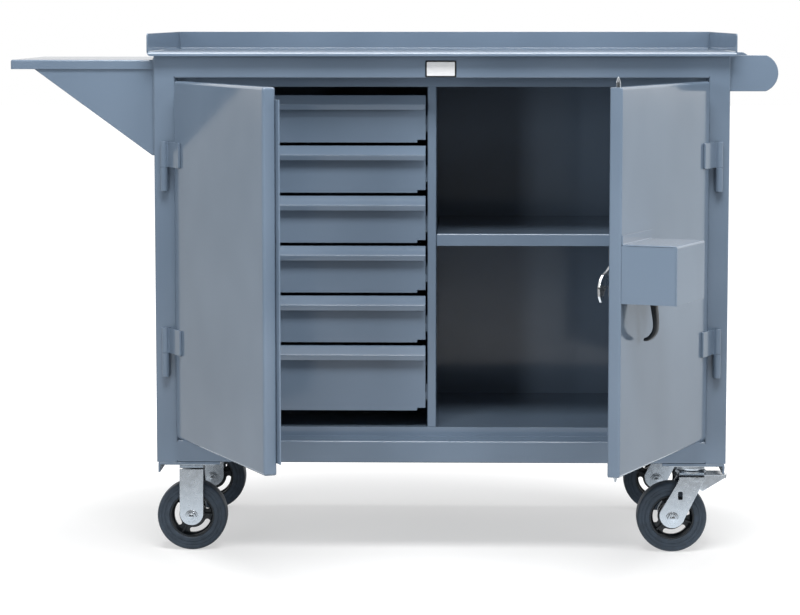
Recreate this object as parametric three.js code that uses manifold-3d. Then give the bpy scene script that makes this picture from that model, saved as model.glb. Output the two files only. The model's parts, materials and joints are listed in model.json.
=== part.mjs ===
// Maintenance cart: a welded sheet-steel cabinet on four casters, with a lipped worktop, a vise shelf,
// a push handle, a bank of six drawers, an open bay with one shelf, and two doors with a three-point latch.
// Millimetres, +X right, +Y to the back, +Z up. Inside the cart group, X is counted from the middle of the
// cabinet, Y from its front face and Z from the floor; the last lines move the foot of the whole to the origin.
import * as THREE from 'three';
import { mergeVertices } from 'three/addons/utils/BufferGeometryUtils.js';
import Module from 'manifold-3d';

// Driving dimensions, in millimetres and degrees.
const gauge = 2.7; // steel sheet of the cabinet, doors and worktop
const seat = 0.3; // gap kept between two pieces that touch
const overrun = 5; // how far a cutter runs past the face that it cuts
const grid = 0.002; // corners snap to this before a join or cut, so that flush faces are truly flush

const cabinet = {
  width: 1219.2,
  depth: 640,
  postWidth: 44.6, // front faces folded from the side panels
  stepDepth: 76, // from the front face to the back of the step that the doors close before
  headerFace: 55.9, // from the worktop's surface down to the lower edge of the header's face
  headerDrop: 20, // how far the step hangs below the header's face
  sillHeight: 47.3, // from the underside of the cabinet up to the sill's ledge
  sillRise: 19.3, // from the sill's top up to the cabinet floor
  sillFoot: 32, // flange turned back under the sill
};

const worktop = {
  surface: 1079.5,
  frontOver: 24.2,
  sideOver: 11.6,
  backOver: 5,
  lip: 38.1,
  rim: 9.5, // depth of the turned-down front edge
  cornerRadius: 6, // front corners of the side lips
};

const viseShelf = { belowTop: 17.5, reach: 304.8, front: 8, depth: 457.2, flange: 20, plate: 4.8 };
const gusset = { plate: 4.8, reach: 255, drop: 183 };
const pushHandle = { reach: 101.6, height: 76, belowTop: 7.5, plate: 6.4, front: 10, span: 520.7, bulge: 26 };
const pushTube = { radius: 15.9, wall: 2.5, out: 62.4, sides: 24 };
const divider = { left: -30, width: 19, backGap: 4 };
const bayShelf = { rise: 420, flange: 26.4, setBack: 4 };

const bank = {
  dividerGap: 4, // from the right ends of the drawer fronts to the divider
  leftInset: 109.6, // from the cabinet's left side to the left ends of the fronts
  belowTop: 94.3, // from the worktop's surface down to the highest front
  footGap: 35.65, // from the cabinet floor up to the lowest front
  deepFront: 141.8, // height of the lowest front
  frontGap: 6.75, // between one front and the next
  faceSetBack: 2, // fronts and divider behind the back of the step
};
const drawer = {
  count: 6,
  wall: 1.6,
  boxDepth: 500,
  sideDrop: 26, // how far the box sides stay below the front's top
  bottomRise: 9, // how far the box bottom stays above the front's lower edge
  notchWidth: 18,
  notchHeight: 6,
};
// Folded pull along each front: distances forward of the panel and down from its top.
const pull = {
  reach: 18,
  slopeDrop: 16.5,
  noseDrop: 22,
  hemDrop: 30.7,
  hemSetBack: 2.5,
  sheet: 2,
  slopeSheet: 3, // the sheet's thickness where it slopes, measured level
  bendDrop: 4, // the inside of the upper bend, down from the front's top
  clip: 7,
};
const slide = {
  room: 12,
  web: 2,
  ledge: 8.4,
  sheet: 2,
  height: 34,
  shortOfBox: 30, // the rails end this far before the drawer's back
  runnerHeight: 14,
  runnerRise: 24,
};

const door = {
  axisInset: 22.3, // hinge axes, in from the cabinet's sides
  axisY: -11.7,
  near: 31.3, // hinge-side edge of the door, from the axis
  meetGap: 2, // free edge of each closed door, from the middle
  bottomGap: 11.3, // above the sill's ledge
  topGap: 5.6, // below the header's face
  thickness: 26.5,
  flange: 15, // inner flange around the pan
};
const leftOpenDegrees = 66.1;
const rightOpenDegrees = 67.5;
const astragal = { plate: 3, lap: 15.5, hold: 25, inset: 24 };
const hinge = {
  barrelRadius: 7.9,
  pinRadius: 3.6,
  pinLength: 38,
  boreClearance: 0.35,
  halfHeight: 50.8,
  leafReach: 76.2,
  leaf: 5,
  neck: 7,
  lowRise: 178.7, // parting line of the lower hinges, above the door's foot
  highDrop: 182.5, // parting line of the upper hinges, below the door's top
  sides: 20,
};

// Spindle of the latch: in from the right door's free edge and up from the middle of its height.
const latch = { inset: 105.3, rise: 16, spindleRadius: 8, holeClearance: 0.5 };
// Lock shroud round the lever: in from the door's free edge, below and above the spindle.
const shroud = { inset: 0.5, width: 171.5, standOff: 113, below: 54, above: 61, flange: 18 };
// Lever: the side outline as shares of its stand-off from the door and of its length.
const lever = { standOff: 34, length: 129, width: 24, bossRadius: 22, bossDepth: 18 };
const leverShares = [
  [0.01, 0.1], [0.65, 0.1], [1, -0.06], [1.16, -0.26], [1.2, -0.5], [1.2, -0.72], [1.1, -0.87], [0.85, -0.96],
  [0.5, -1], [0.22, -0.99], [0.26, -0.93], [0.55, -0.92], [0.8, -0.85], [0.92, -0.72], [0.93, -0.5],
  [0.88, -0.3], [0.65, -0.14], [0.01, -0.1],
];
// Cam inside the door: a disc with a hooked arm, whose outline is in shares of its reach and drop.
const cam = { depth: 42, plate: 5, radius: 30, reach: 110, drop: 55 };
const hookShares = [
  [0.52, -0.42], [0.7, -0.55], [0.8, -0.87], [0.88, -1], [0.98, -0.75], [1, -0.45], [0.93, -0.2], [0.8, -0.02],
  [0.57, 0.11],
];
const rod = {
  radius: 4.75,
  edge: 15.3, // rod centre in from the door's free edge
  depth: 14, // rod centre behind the door's outer face
  reach: 20, // how far the tips stand out above and below the door
  tip: 10,
  camGap: 25, // rod straps stop this far above and below the spindle
  strapHeight: 20,
  strapPlate: 4,
  strapEnd: 12, // strap's end past the spindle's centre, along the door
  jog: 32, // the strap's step, in from the rod's centre
  sides: 16,
  clearance: 1.2,
};

const caster = {
  frontInset: 75.8,
  rearInset: 53.8,
  rigidInset: 69.6, // in from the cabinet's left side
  swivelInset: 68.6, // in from the cabinet's right side
  trail: 41.5,
  height: 195.7,
  plate: 5,
  plateX: 114.3,
  plateY: 101.6,
};
const rail = { web: 5.1, width: 133, lip: 22.2, lipPlate: 4 };
const wheel = { radius: 76.1, width: 50.8, tyreInner: 48, shoulder: 6, segments: 36 };
const core = {
  hubRadius: 17, hubHalf: 28.4, rimHalf: 22, rimInner: 43.5, webHalf: 4, windowIn: 29.5, windowOut: 41.5, sides: 28,
};
const windowHalfDegrees = 32; // half the angle between the centres of a window's round ends
const windowStepDegrees = 120;
// How far each wheel has turned, as the angle of its lowest window's middle.
const wheelTurns = { front_left: -60, rear_left: -42, front_right: -77, rear_right: -20 };
const axle = { radius: 6, clearance: 0.35, hexRadius: 11.5, hexHeight: 7, sides: 16 };
const fork = { plate: 5.6, gap: 29.4, width: 51, endRise: 6, crown: 5.6, shoulderDrop: 12 };
const swivel = { raceRadius: 30, crownRadius: 33, crownDrop: 18.2, topWidth: 54, legRadius: 27.5, sides: 28 };
const forkWindow = { width: 9.6, height: 17.2, along: -24.5, up: 125.5 };
const pedal = {
  pivotAlong: 11, pivotUp: 160, tread: 64, side: 26, pinRadius: 4, sheet: 3, halfWidth: 28.4, clearance: 0.4,
};
// Side outline of the brake pedal, from its pivot, as shares of its tread and its side.
const pedalShares = [
  [-0.11, 0.19], [-0.03, 0.42], [1, 0.42], [0.98, 0.17], [0.2, -1], [0.05, -0.77], [-0.11, -0.19],
];

const finishes = {
  enamel: { color: 0x75879b, roughness: 0.35, metalness: 0.1 },
  zinc: { color: 0xc3c8cc, roughness: 0.35, metalness: 0.9 },
  castIron: { color: 0x1d1f22, roughness: 0.6, metalness: 0.4 },
  rubber: { color: 0x3a4048, roughness: 0.8, metalness: 0 },
  steel: { color: 0xd5d8da, roughness: 0.25, metalness: 1 },
};

const wasm = await Module();
wasm.setup();

// Values worked out from the sizes above.
const casterTop = caster.height;
const railTop = casterTop + seat + rail.web;
const cabinetFoot = railTop + seat;
const ledgeTop = cabinetFoot + cabinet.sillHeight;
const headerEdge = worktop.surface - cabinet.headerFace;
const halfWidth = cabinet.width / 2;
const postInner = halfWidth - cabinet.postWidth;
const insideX = halfWidth - gauge;
const insideBack = cabinet.depth - gauge;
const cabinetTop = worktop.surface - gauge - seat;
const floorTop = ledgeTop + cabinet.sillRise;
const stepFront = cabinet.stepDepth - gauge;
const stepBottom = headerEdge - cabinet.headerDrop;
const dividerRight = divider.left + divider.width;
const bankFace = cabinet.stepDepth + bank.faceSetBack;
const bankLeft = -halfWidth + bank.leftInset;
const bankRight = divider.left - bank.dividerGap;
const bankTop = worktop.surface - bank.belowTop;
const drawerPitch = (bankTop - bank.deepFront - floorTop - bank.footGap) / (drawer.count - 1);
const slideLength = drawer.boxDepth - slide.shortOfBox;
const axisX = halfWidth - door.axisInset;
const doorFar = axisX - door.meetGap;
const doorFoot = ledgeTop + door.bottomGap;
const doorTop = headerEdge - door.topGap;
const highHinge = doorTop - hinge.highDrop;
const lowHinge = doorFoot + hinge.lowRise;
const spindleAlong = doorFar - latch.inset;
const spindleHeight = (doorFoot + doorTop) / 2 + latch.rise;
const rodAlong = doorFar - rod.edge;
const shelfTop = worktop.surface - viseShelf.belowTop;
const handleTop = worktop.surface - pushHandle.belowTop;
const bayTop = floorTop + bayShelf.rise;
const shroudFar = doorFar - shroud.inset;
const shroudNear = shroudFar - shroud.width;
const shroudFoot = spindleHeight - shroud.below;
const shroudTop = spindleHeight + shroud.above;
const axleHeight = wheel.radius * Math.cos(Math.PI / wheel.segments);
const casterFront = caster.frontInset;
const casterRear = cabinet.depth - caster.rearInset;

// Turns a closed geometry into a solid that can be joined and cut; a solid stays as it is.
function toSolid(shape) {
  if (!shape.isBufferGeometry) {
    return shape;
  }
  const snapped = shape.attributes.position.array.map((value) => Math.round(value / grid) * grid);
  const bare = new THREE.BufferGeometry();
  bare.setAttribute('position', new THREE.BufferAttribute(snapped, 3));
  bare.setIndex(shape.index);
  const merged = mergeVertices(bare, grid / 4);
  const mesh = new wasm.Mesh({
    numProp: 3,
    vertProperties: new Float32Array(merged.attributes.position.array),
    triVerts: new Uint32Array(merged.index.array),
  });
  return new wasm.Manifold(mesh);
}

// Merges the coplanar triangles that joins and cuts leave, and hands the faces back as a geometry.
function toGeometry(solid) {
  const mesh = solid.asOriginal().simplify(grid).getMesh();
  const geometry = new THREE.BufferGeometry();
  geometry.setAttribute('position', new THREE.BufferAttribute(new Float32Array(mesh.vertProperties), 3));
  geometry.setIndex(new THREE.BufferAttribute(new Uint32Array(mesh.triVerts), 1));
  const flat = geometry.toNonIndexed();
  flat.computeVertexNormals();
  return flat;
}

function join(...shapes) {
  return shapes.map(toSolid).reduce((whole, next) => whole.add(next));
}

function cut(shape, ...tools) {
  return tools.map(toSolid).reduce((whole, next) => whole.subtract(next), toSolid(shape));
}

// A block between two corners.
function block(x0, x1, y0, y1, z0, z1) {
  const geometry = new THREE.BoxGeometry(x1 - x0, y1 - y0, z1 - z0);
  return geometry.translate((x0 + x1) / 2, (y0 + y1) / 2, (z0 + z1) / 2);
}

function extrude(points, length) {
  const shape = new THREE.Shape(points.map(([x, y]) => new THREE.Vector2(x, y)));
  return new THREE.ExtrudeGeometry(shape, { depth: length, bevelEnabled: false, steps: 1 });
}

// An X-Y outline carried up from z0 to z1.
function upright(points, z0, z1) {
  return extrude(points, z1 - z0).translate(0, 0, z0);
}

// A Y-Z outline carried along X from x0 to x1.
function alongX(points, x0, x1) {
  const axes = new THREE.Matrix4().makeBasis(
    new THREE.Vector3(0, 1, 0), new THREE.Vector3(0, 0, 1), new THREE.Vector3(1, 0, 0),
  );
  return extrude(points, x1 - x0).applyMatrix4(axes).translate(x0, 0, 0);
}

// An X-Z outline carried along Y from y0 to y1.
function alongY(points, y0, y1) {
  return extrude(points, y1 - y0).rotateX(Math.PI / 2).translate(0, y1, 0);
}

// A round bar along Z between two heights.
function barZ(radius, x, y, z0, z1, sides) {
  return new THREE.CylinderGeometry(radius, radius, z1 - z0, sides).rotateX(Math.PI / 2)
    .translate(x, y, (z0 + z1) / 2);
}

// A round bar along Y between two depths.
function barY(radius, x, z, y0, y1, sides) {
  return new THREE.CylinderGeometry(radius, radius, y1 - y0, sides).translate(x, (y0 + y1) / 2, z);
}

// Points of an arc about a centre, from one angle to another in degrees.
function arc(cx, cy, radius, from, to, steps) {
  return Array.from({ length: steps + 1 }, (unused, i) => {
    const angle = THREE.MathUtils.degToRad(from + ((to - from) * i) / steps);
    return [cx + radius * Math.cos(angle), cy + radius * Math.sin(angle)];
  });
}

function piece(parent, name, shape, finish) {
  const geometry = shape.isBufferGeometry ? shape : toGeometry(shape);
  const mesh = new THREE.Mesh(geometry, new THREE.MeshStandardMaterial(finishes[finish]));
  mesh.name = name;
  parent.add(mesh);
}

// Mirrors an outline in X for the left-hand copy; side is 1 on the right and -1 on the left.
function sided(points, side) {
  return points.map(([x, y]) => [x * side, y]);
}

// A block given for the right side, placed on either side.
function sidedBlock(side, x0, x1, y0, y1, z0, z1) {
  return side > 0 ? block(x0, x1, y0, y1, z0, z1) : block(-x1, -x0, y0, y1, z0, z1);
}

// Side panels: each is one sheet folded round into the front post and its inner return.
function addSidePanel(parent, name, side) {
  const outline = [
    [halfWidth, 0], [halfWidth, cabinet.depth], [insideX, cabinet.depth], [insideX, gauge],
    [postInner + gauge, gauge], [postInner + gauge, cabinet.stepDepth - seat],
    [postInner, cabinet.stepDepth - seat], [postInner, 0],
  ];
  piece(parent, name, upright(sided(outline, side), cabinetFoot, cabinetTop), 'enamel');
}

function addShell(parent) {
  addSidePanel(parent, 'left_side_panel', -1);
  addSidePanel(parent, 'right_side_panel', 1);
  piece(parent, 'back_panel', block(
    -(insideX - seat), insideX - seat, insideBack, cabinet.depth, cabinetFoot, cabinetTop,
  ), 'enamel');

  const channelEnd = postInner - seat;
  const rodHole = (z) => barZ(
    rod.radius + rod.clearance, axisX - rodAlong, rod.depth, z - gauge - overrun, z + gauge + overrun,
    rod.sides,
  );
  const sill = [
    [0, cabinetFoot], [cabinet.sillFoot, cabinetFoot], [cabinet.sillFoot, cabinetFoot + gauge],
    [gauge, cabinetFoot + gauge], [gauge, ledgeTop - gauge],
    [cabinet.stepDepth, ledgeTop - gauge], [cabinet.stepDepth, floorTop], [stepFront, floorTop],
    [stepFront, ledgeTop], [0, ledgeTop],
  ];
  piece(parent, 'sill_channel', cut(alongX(sill, -channelEnd, channelEnd), rodHole(ledgeTop)), 'enamel');

  const header = [
    [0, headerEdge], [stepFront, headerEdge], [stepFront, stepBottom],
    [cabinet.stepDepth, stepBottom], [cabinet.stepDepth, headerEdge + gauge],
    [gauge, headerEdge + gauge], [gauge, cabinetTop], [0, cabinetTop],
  ];
  piece(parent, 'header_channel', cut(
    alongX(header, -channelEnd, channelEnd), rodHole(headerEdge),
  ), 'enamel');

  piece(parent, 'floor_pan', block(
    -(insideX - seat), insideX - seat, cabinet.stepDepth + seat, insideBack - seat, floorTop - gauge, floorTop,
  ), 'enamel');
}

// Worktop: a flat sheet with lips turned up on three sides and a rim turned down in front.
function addWorktop(parent) {
  const x = halfWidth + worktop.sideOver;
  const y0 = -worktop.frontOver;
  const y1 = cabinet.depth + worktop.backOver;
  const under = worktop.surface - gauge;
  const lipTop = worktop.surface + worktop.lip;
  const r = worktop.cornerRadius;
  const lip = [[y0, under], [y1, under], [y1, lipTop], ...arc(y0 + r, lipTop - r, r, 90, 180, 6)];
  piece(parent, 'worktop', join(
    block(-x, x, y0, y1, under, worktop.surface),
    block(-x, x, y1 - gauge, y1, under, lipTop),
    block(-x, x, y0, y0 + gauge, worktop.surface - worktop.rim, worktop.surface),
    alongX(lip, -x, -x + gauge),
    alongX(lip, x - gauge, x),
  ), 'enamel');
}

// Vise shelf on the left: a flanged plate on two triangular gussets.
function addViseShelf(parent) {
  const x1 = -halfWidth - seat;
  const x0 = -halfWidth - viseShelf.reach;
  const y0 = viseShelf.front;
  const y1 = viseShelf.front + viseShelf.depth;
  const under = shelfTop - viseShelf.plate;
  const flangeFoot = shelfTop - viseShelf.flange;
  piece(parent, 'vise_shelf', cut(
    block(x0, x1, y0, y1, flangeFoot, shelfTop),
    block(x0 + viseShelf.plate, x1 + overrun, y0 + viseShelf.plate, y1 - viseShelf.plate,
      flangeFoot - overrun, under),
  ), 'enamel');

  const top = under - seat;
  const foot = flangeFoot - gusset.drop;
  const outline = [
    [x1, foot], [x1, top], [-halfWidth - gusset.reach, top], [-halfWidth - gusset.reach, flangeFoot],
    [x1 - gusset.plate, foot],
  ];
  const inset = viseShelf.plate + seat;
  piece(parent, 'vise_gusset_front', alongY(outline, y0 + inset, y0 + inset + gusset.plate), 'enamel');
  piece(parent, 'vise_gusset_rear', alongY(outline, y1 - inset - gusset.plate, y1 - inset), 'enamel');
}

// Push handle on the right: two round-ended ears and the tube between them.
function addPushHandle(parent) {
  const x0 = halfWidth + seat;
  const x1 = halfWidth + pushHandle.reach;
  const z1 = handleTop;
  const z0 = handleTop - pushHandle.height;
  const mid = (z0 + z1) / 2;
  const half = pushHandle.height / 2;
  const r = (half ** 2 + pushHandle.bulge ** 2) / (2 * pushHandle.bulge);
  const sweep = THREE.MathUtils.radToDeg(Math.asin(half / r));
  const ear = [[x0, z1], [x0, z0], ...arc(x1 - r, mid, r, -sweep, sweep, 14)];
  const y0 = pushHandle.front;
  const y1 = pushHandle.front + pushHandle.span;
  piece(parent, 'handle_ear_front', alongY(ear, y0, y0 + pushHandle.plate), 'enamel');
  piece(parent, 'handle_ear_rear', alongY(ear, y1 - pushHandle.plate, y1), 'enamel');
  const t0 = y0 + pushHandle.plate + seat;
  const t1 = y1 - pushHandle.plate - seat;
  const tubeX = halfWidth + pushTube.out;
  piece(parent, 'push_tube', cut(
    barY(pushTube.radius, tubeX, mid, t0, t1, pushTube.sides),
    barY(pushTube.radius - pushTube.wall, tubeX, mid, t0 - overrun, t1 + overrun, pushTube.sides),
  ), 'enamel');
}

// One fixed rail of a drawer slide: a web on the wall at x and a ledge that the runner rides on.
function fixedRail(x, towards, z) {
  const web = [x, x + slide.web * towards].sort((a, b) => a - b);
  const ledge = [x, x + slide.ledge * towards].sort((a, b) => a - b);
  const y0 = bankFace + overrun;
  return [
    block(web[0], web[1], y0, y0 + slideLength, z, z + slide.height),
    block(ledge[0], ledge[1], y0, y0 + slideLength, z, z + slide.sheet),
  ];
}

function drawerTop(i) {
  return bankTop - drawerPitch * i;
}

function drawerHeight(i) {
  return i === drawer.count - 1 ? bank.deepFront : (drawerPitch - bank.frontGap);
}

function ledgeHeight(i) {
  return drawerTop(i) - drawerHeight(i) + slide.runnerRise;
}

function addInside(parent) {
  const y0 = bankFace;
  const y1 = insideBack - seat;
  const z0 = floorTop + seat;
  const rails = Array.from({ length: drawer.count }, (unused, i) => ledgeHeight(i));

  // Centre divider: a hollow wall folded round its front edge, with the right-hand rails on its left skin.
  const wall = [
    [divider.left, y0], [dividerRight, y0], [dividerRight, y1 - divider.backGap],
    [dividerRight - gauge, y1 - divider.backGap], [dividerRight - gauge, y0 + gauge],
    [divider.left + gauge, y0 + gauge], [divider.left + gauge, y1 - divider.backGap],
    [divider.left, y1 - divider.backGap],
  ];
  piece(parent, 'centre_divider', join(
    upright(wall, z0, cabinetTop), ...rails.flatMap((z) => fixedRail(divider.left, -1, z)),
  ), 'enamel');

  // Slide panel: carries the left-hand rails and closes the gap to the left post with its front flange.
  const x = bankLeft - slide.room;
  const flangeEnd = -(insideX - seat);
  const flangeFront = cabinet.stepDepth + seat;
  const panel = [
    [flangeEnd, flangeFront], [x, flangeFront], [x, y1], [x - gauge, y1], [x - gauge, flangeFront + gauge],
    [flangeEnd, flangeFront + gauge],
  ];
  piece(parent, 'slide_panel', join(
    upright(panel, z0, cabinetTop), ...rails.flatMap((z) => fixedRail(x, 1, z)),
  ), 'enamel');

  // Shelf of the open bay, with its edges turned down.
  const left = dividerRight + seat;
  const right = insideX - seat;
  const under = bayTop - bayShelf.flange;
  const front = cabinet.stepDepth + bayShelf.setBack;
  piece(parent, 'bay_shelf', cut(
    block(left, right, front, y1, under, bayTop),
    block(left + gauge, right - gauge, front + gauge, y1 - gauge, under - overrun, bayTop - gauge),
  ), 'enamel');
}

// One drawer: an open sheet box on two runners, its front panel and the folded pull across it.
function addDrawer(parent, i) {
  const top = drawerTop(i);
  const bottom = top - drawerHeight(i);
  const face = bankFace;
  const back = face + gauge + drawer.boxDepth;
  const x0 = bankLeft;
  const x1 = bankRight;
  const side0 = x0;
  const side1 = divider.left - slide.room;
  const boxTop = top - drawer.sideDrop;
  const boxFoot = bottom + drawer.bottomRise;
  const s = pull.sheet;
  const slopeInner = face - pull.reach + pull.slopeSheet;
  const fold = [
    [face + gauge, top], [face, top], [face - pull.reach + s, top - pull.slopeDrop],
    [face - pull.reach, top - (pull.slopeDrop + pull.noseDrop) / 2], [face - pull.reach, top - pull.noseDrop],
    [face - pull.reach + pull.hemSetBack, top - pull.hemDrop],
    [face - pull.reach + pull.hemSetBack + s, top - pull.hemDrop],
    [face - pull.reach + s, top - pull.noseDrop], [slopeInner, top - pull.slopeDrop - s],
    [face, top - pull.bendDrop], [face + gauge, top - pull.bendDrop],
  ];
  const nose = face - pull.reach;
  const clipper = alongY([
    [x1 - pull.clip, top - pull.hemDrop - overrun], [x1 + overrun, top - pull.hemDrop - overrun],
    [x1 + overrun, top - pull.hemDrop + pull.clip + overrun],
  ], nose - overrun, face - s);
  const notch = block(x1 - drawer.notchWidth, x1 + overrun, face - overrun, face + gauge + overrun,
    bottom - overrun, bottom + drawer.notchHeight);
  const runnerZ = ledgeHeight(i) + slide.sheet + seat;
  const runnerGap = slide.web + seat;
  const r0 = face + gauge;
  const solid = cut(join(
    block(x0, x1, face, face + gauge, bottom, top),
    alongX(fold, x0, x1),
    block(side0, side0 + drawer.wall, r0, back, boxFoot, boxTop),
    block(side1 - drawer.wall, side1, r0, back, boxFoot, boxTop),
    block(side0, side1, back - drawer.wall, back, boxFoot, boxTop),
    block(side0, side1, r0, back, boxFoot, boxFoot + drawer.wall),
    block(side1, divider.left - runnerGap, r0 + overrun, r0 + slideLength, runnerZ,
      runnerZ + slide.runnerHeight),
    block(bankLeft - slide.room + runnerGap, side0, r0 + overrun, r0 + slideLength, runnerZ,
      runnerZ + slide.runnerHeight),
  ), clipper, notch);
  piece(parent, `drawer_${i + 1}`, solid, 'enamel');
}

// Doors are drawn closed about their hinge axis: x runs along the door, y is depth behind the axis.
function doorGroup(side, openDegrees) {
  const group = new THREE.Group();
  group.position.set(side * axisX, door.axisY, 0);
  group.rotation.z = side * THREE.MathUtils.degToRad(openDegrees);
  return group;
}

// Places a block by its distance along the door and its depth behind the door's outer face.
function doorBlock(side, u0, u1, w0, w1, z0, z1) {
  const y = -door.axisY;
  return side > 0 ? block(-u1, -u0, y + w0, y + w1, z0, z1) : block(u0, u1, y + w0, y + w1, z0, z1);
}

function doorPan(side) {
  const g = gauge;
  const t = door.thickness;
  const f = door.flange;
  return cut(
    doorBlock(side, door.near, doorFar, 0, t, doorFoot, doorTop),
    doorBlock(side, door.near + g, doorFar - g, g, t - g, doorFoot + g, doorTop - g),
    doorBlock(side, door.near + f, doorFar - f, g, t + overrun, doorFoot + f, doorTop - f),
  );
}

// The door's half of a hinge: a bored barrel, closed on top, with its leaf on the door's outer face.
function hingeDoorHalf(side, mid) {
  const z0 = mid + seat;
  const z1 = mid + hinge.halfHeight;
  const y = -door.axisY;
  const neckX = [0, -side * hinge.neck].sort((a, b) => a - b);
  const boreTop = mid + hinge.pinLength + seat;
  return cut(join(
    barZ(hinge.barrelRadius, 0, 0, z0, z1, hinge.sides),
    block(neckX[0], neckX[1], 0, y - seat, z0, z1),
    doorBlock(side, 0, hinge.leafReach, -seat - hinge.leaf, -seat, z0, z1),
  ), barZ(hinge.pinRadius + hinge.boreClearance, 0, 0, z0 - overrun, boreTop, hinge.sides));
}

// The post's half: a barrel and pin on a weld pad.
function addPostHalf(parent, name, side, mid) {
  const x = side * axisX;
  const pad = hinge.barrelRadius - hinge.boreClearance;
  piece(parent, name, join(
    barZ(hinge.barrelRadius, x, door.axisY, mid - hinge.halfHeight, mid, hinge.sides),
    barZ(hinge.pinRadius, x, door.axisY, mid - hinge.pinLength, mid + hinge.pinLength, hinge.sides),
    block(x - pad, x + pad, door.axisY, -seat, mid - hinge.halfHeight, mid),
  ), 'enamel');
}

function addLeftDoor(parent) {
  const group = doorGroup(-1, leftOpenDegrees);
  group.name = 'left_door_axis';
  piece(group, 'left_door', doorPan(-1), 'enamel');
  const w = door.thickness + seat;
  piece(group, 'left_door_astragal', doorBlock(
    -1, doorFar - astragal.hold, doorFar + astragal.lap, w, w + astragal.plate, doorFoot + astragal.inset,
    doorTop - astragal.inset,
  ), 'enamel');
  piece(group, 'left_hinge_leaf_upper', hingeDoorHalf(-1, highHinge), 'enamel');
  piece(group, 'left_hinge_leaf_lower', hingeDoorHalf(-1, lowHinge), 'enamel');
  parent.add(group);
}

// Lock shroud: a box round the lever, open below and towards the door, hung from a flange.
function lockShroud() {
  const w = -seat;
  return join(
    cut(
      doorBlock(1, shroudNear, shroudFar, -shroud.standOff, w, shroudFoot, shroudTop),
      doorBlock(1, shroudNear + gauge, shroudFar - gauge, -shroud.standOff + gauge, w + overrun,
        shroudFoot - overrun, shroudTop - gauge),
    ),
    doorBlock(1, shroudNear, shroudFar, w - gauge, w, shroudTop - gauge, shroudTop + shroud.flange),
  );
}

// Lever and cam turn as one about the spindle: x is along the door, z up, y depth from the outer face.
function addLatch(parent) {
  const group = new THREE.Group();
  group.name = 'latch_axis';
  group.position.set(-spindleAlong, -door.axisY, spindleHeight);

  // Cast lever: a boss and an arched arm that hangs from it.
  const arm = leverShares.map(([out, up]) => [-out * lever.standOff - seat, up * lever.length]);
  piece(group, 'latch_handle', join(
    barY(lever.bossRadius, 0, 0, -lever.bossDepth, -seat, axle.sides),
    alongX(arm, -lever.width / 2, lever.width / 2),
  ), 'castIron');

  // Spindle through the door with the hooked cam on its inner end; the hook points to the free edge.
  const outline = [
    ...arc(0, 0, cam.radius, 75, 285, 12),
    ...hookShares.map(([along, up]) => [along * cam.reach, up * cam.drop]),
  ].map(([along, up]) => [-along, up]);
  piece(group, 'latch_cam', join(
    barY(latch.spindleRadius, 0, 0, 0, cam.depth + cam.plate / 2, axle.sides),
    alongY(outline, cam.depth, cam.depth + cam.plate),
  ), 'steel');
  parent.add(group);
}

// A latch rod with a pointed tip; its inner end is a strap that steps in to the face of the cam.
function latchRod(up) {
  const x = -rodAlong;
  const y = -door.axisY + rod.depth;
  const innerZ = spindleHeight + up * rod.camGap;
  const tipZ = up > 0 ? doorTop + rod.reach : doorFoot - rod.reach;
  const shoulder = tipZ - up * rod.tip;
  const ends = [innerZ, shoulder].sort((a, b) => a - b);
  const strap = [innerZ, innerZ + up * rod.strapHeight].sort((a, b) => a - b);
  const cone = new THREE.CylinderGeometry(rod.radius / 4, rod.radius, rod.tip, rod.sides)
    .rotateX((up * Math.PI) / 2).translate(x, y, (shoulder + tipZ) / 2);
  const face = -door.axisY + cam.depth - seat;
  const plate = rod.strapPlate;
  return join(
    barZ(rod.radius, x, y, ends[0], ends[1], rod.sides),
    cone,
    block(x, x + rod.jog, y - plate / 2, y + plate / 2, strap[0], strap[1]),
    block(x + rod.jog - plate, x + rod.jog, y - plate / 2, face, strap[0], strap[1]),
    block(x + rod.jog - plate, -spindleAlong - rod.strapEnd, face - plate, face, strap[0], strap[1]),
  );
}

function addRightDoor(parent) {
  const group = doorGroup(1, rightOpenDegrees);
  group.name = 'right_door_axis';
  const y = -door.axisY;
  const rodHole = barZ(rod.radius + rod.clearance, -rodAlong, y + rod.depth,
    doorFoot - overrun, doorTop + overrun, rod.sides);
  const spindleHole = barY(latch.spindleRadius + latch.holeClearance, -spindleAlong, spindleHeight,
    y - overrun, y + gauge + overrun, axle.sides);
  piece(group, 'right_door', cut(doorPan(1), rodHole, spindleHole), 'enamel');
  piece(group, 'right_hinge_leaf_upper', hingeDoorHalf(1, highHinge), 'enamel');
  piece(group, 'right_hinge_leaf_lower', hingeDoorHalf(1, lowHinge), 'enamel');
  piece(group, 'lock_shroud', lockShroud(), 'enamel');
  piece(group, 'latch_rod_upper', latchRod(1), 'zinc');
  piece(group, 'latch_rod_lower', latchRod(-1), 'zinc');
  addLatch(group);
  parent.add(group);
}

// Caster rails: plates under the cabinet from front to back, each with a lip turned down outside.
function addCasterRail(parent, name, side) {
  const x1 = insideX - seat;
  const x0 = x1 - rail.width;
  piece(parent, name, join(
    sidedBlock(side, x0, x1, 0, cabinet.depth, railTop - rail.web, railTop),
    sidedBlock(side, x1 - rail.lipPlate, x1, 0, cabinet.depth, cabinetFoot - rail.lip, railTop),
  ), 'enamel');
}

// Tyre and cast core turn together about Y, drawn about the axle at the origin.
function lathe(points, segments) {
  return new THREE.LatheGeometry(points.map(([x, y]) => new THREE.Vector2(x, y)), segments)
    .rotateY(Math.PI / segments);
}

function tyreShape() {
  const h = wheel.width / 2;
  const r = wheel.radius;
  const s = wheel.shoulder;
  return lathe([
    [wheel.tyreInner, -h], [r - s, -h], [r - s / 3, -h + s / 3], [r, -h + s], [r, h - s],
    [r - s / 3, h - s / 3], [r - s, h], [wheel.tyreInner, h], [wheel.tyreInner, -h],
  ], wheel.segments);
}

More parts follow.
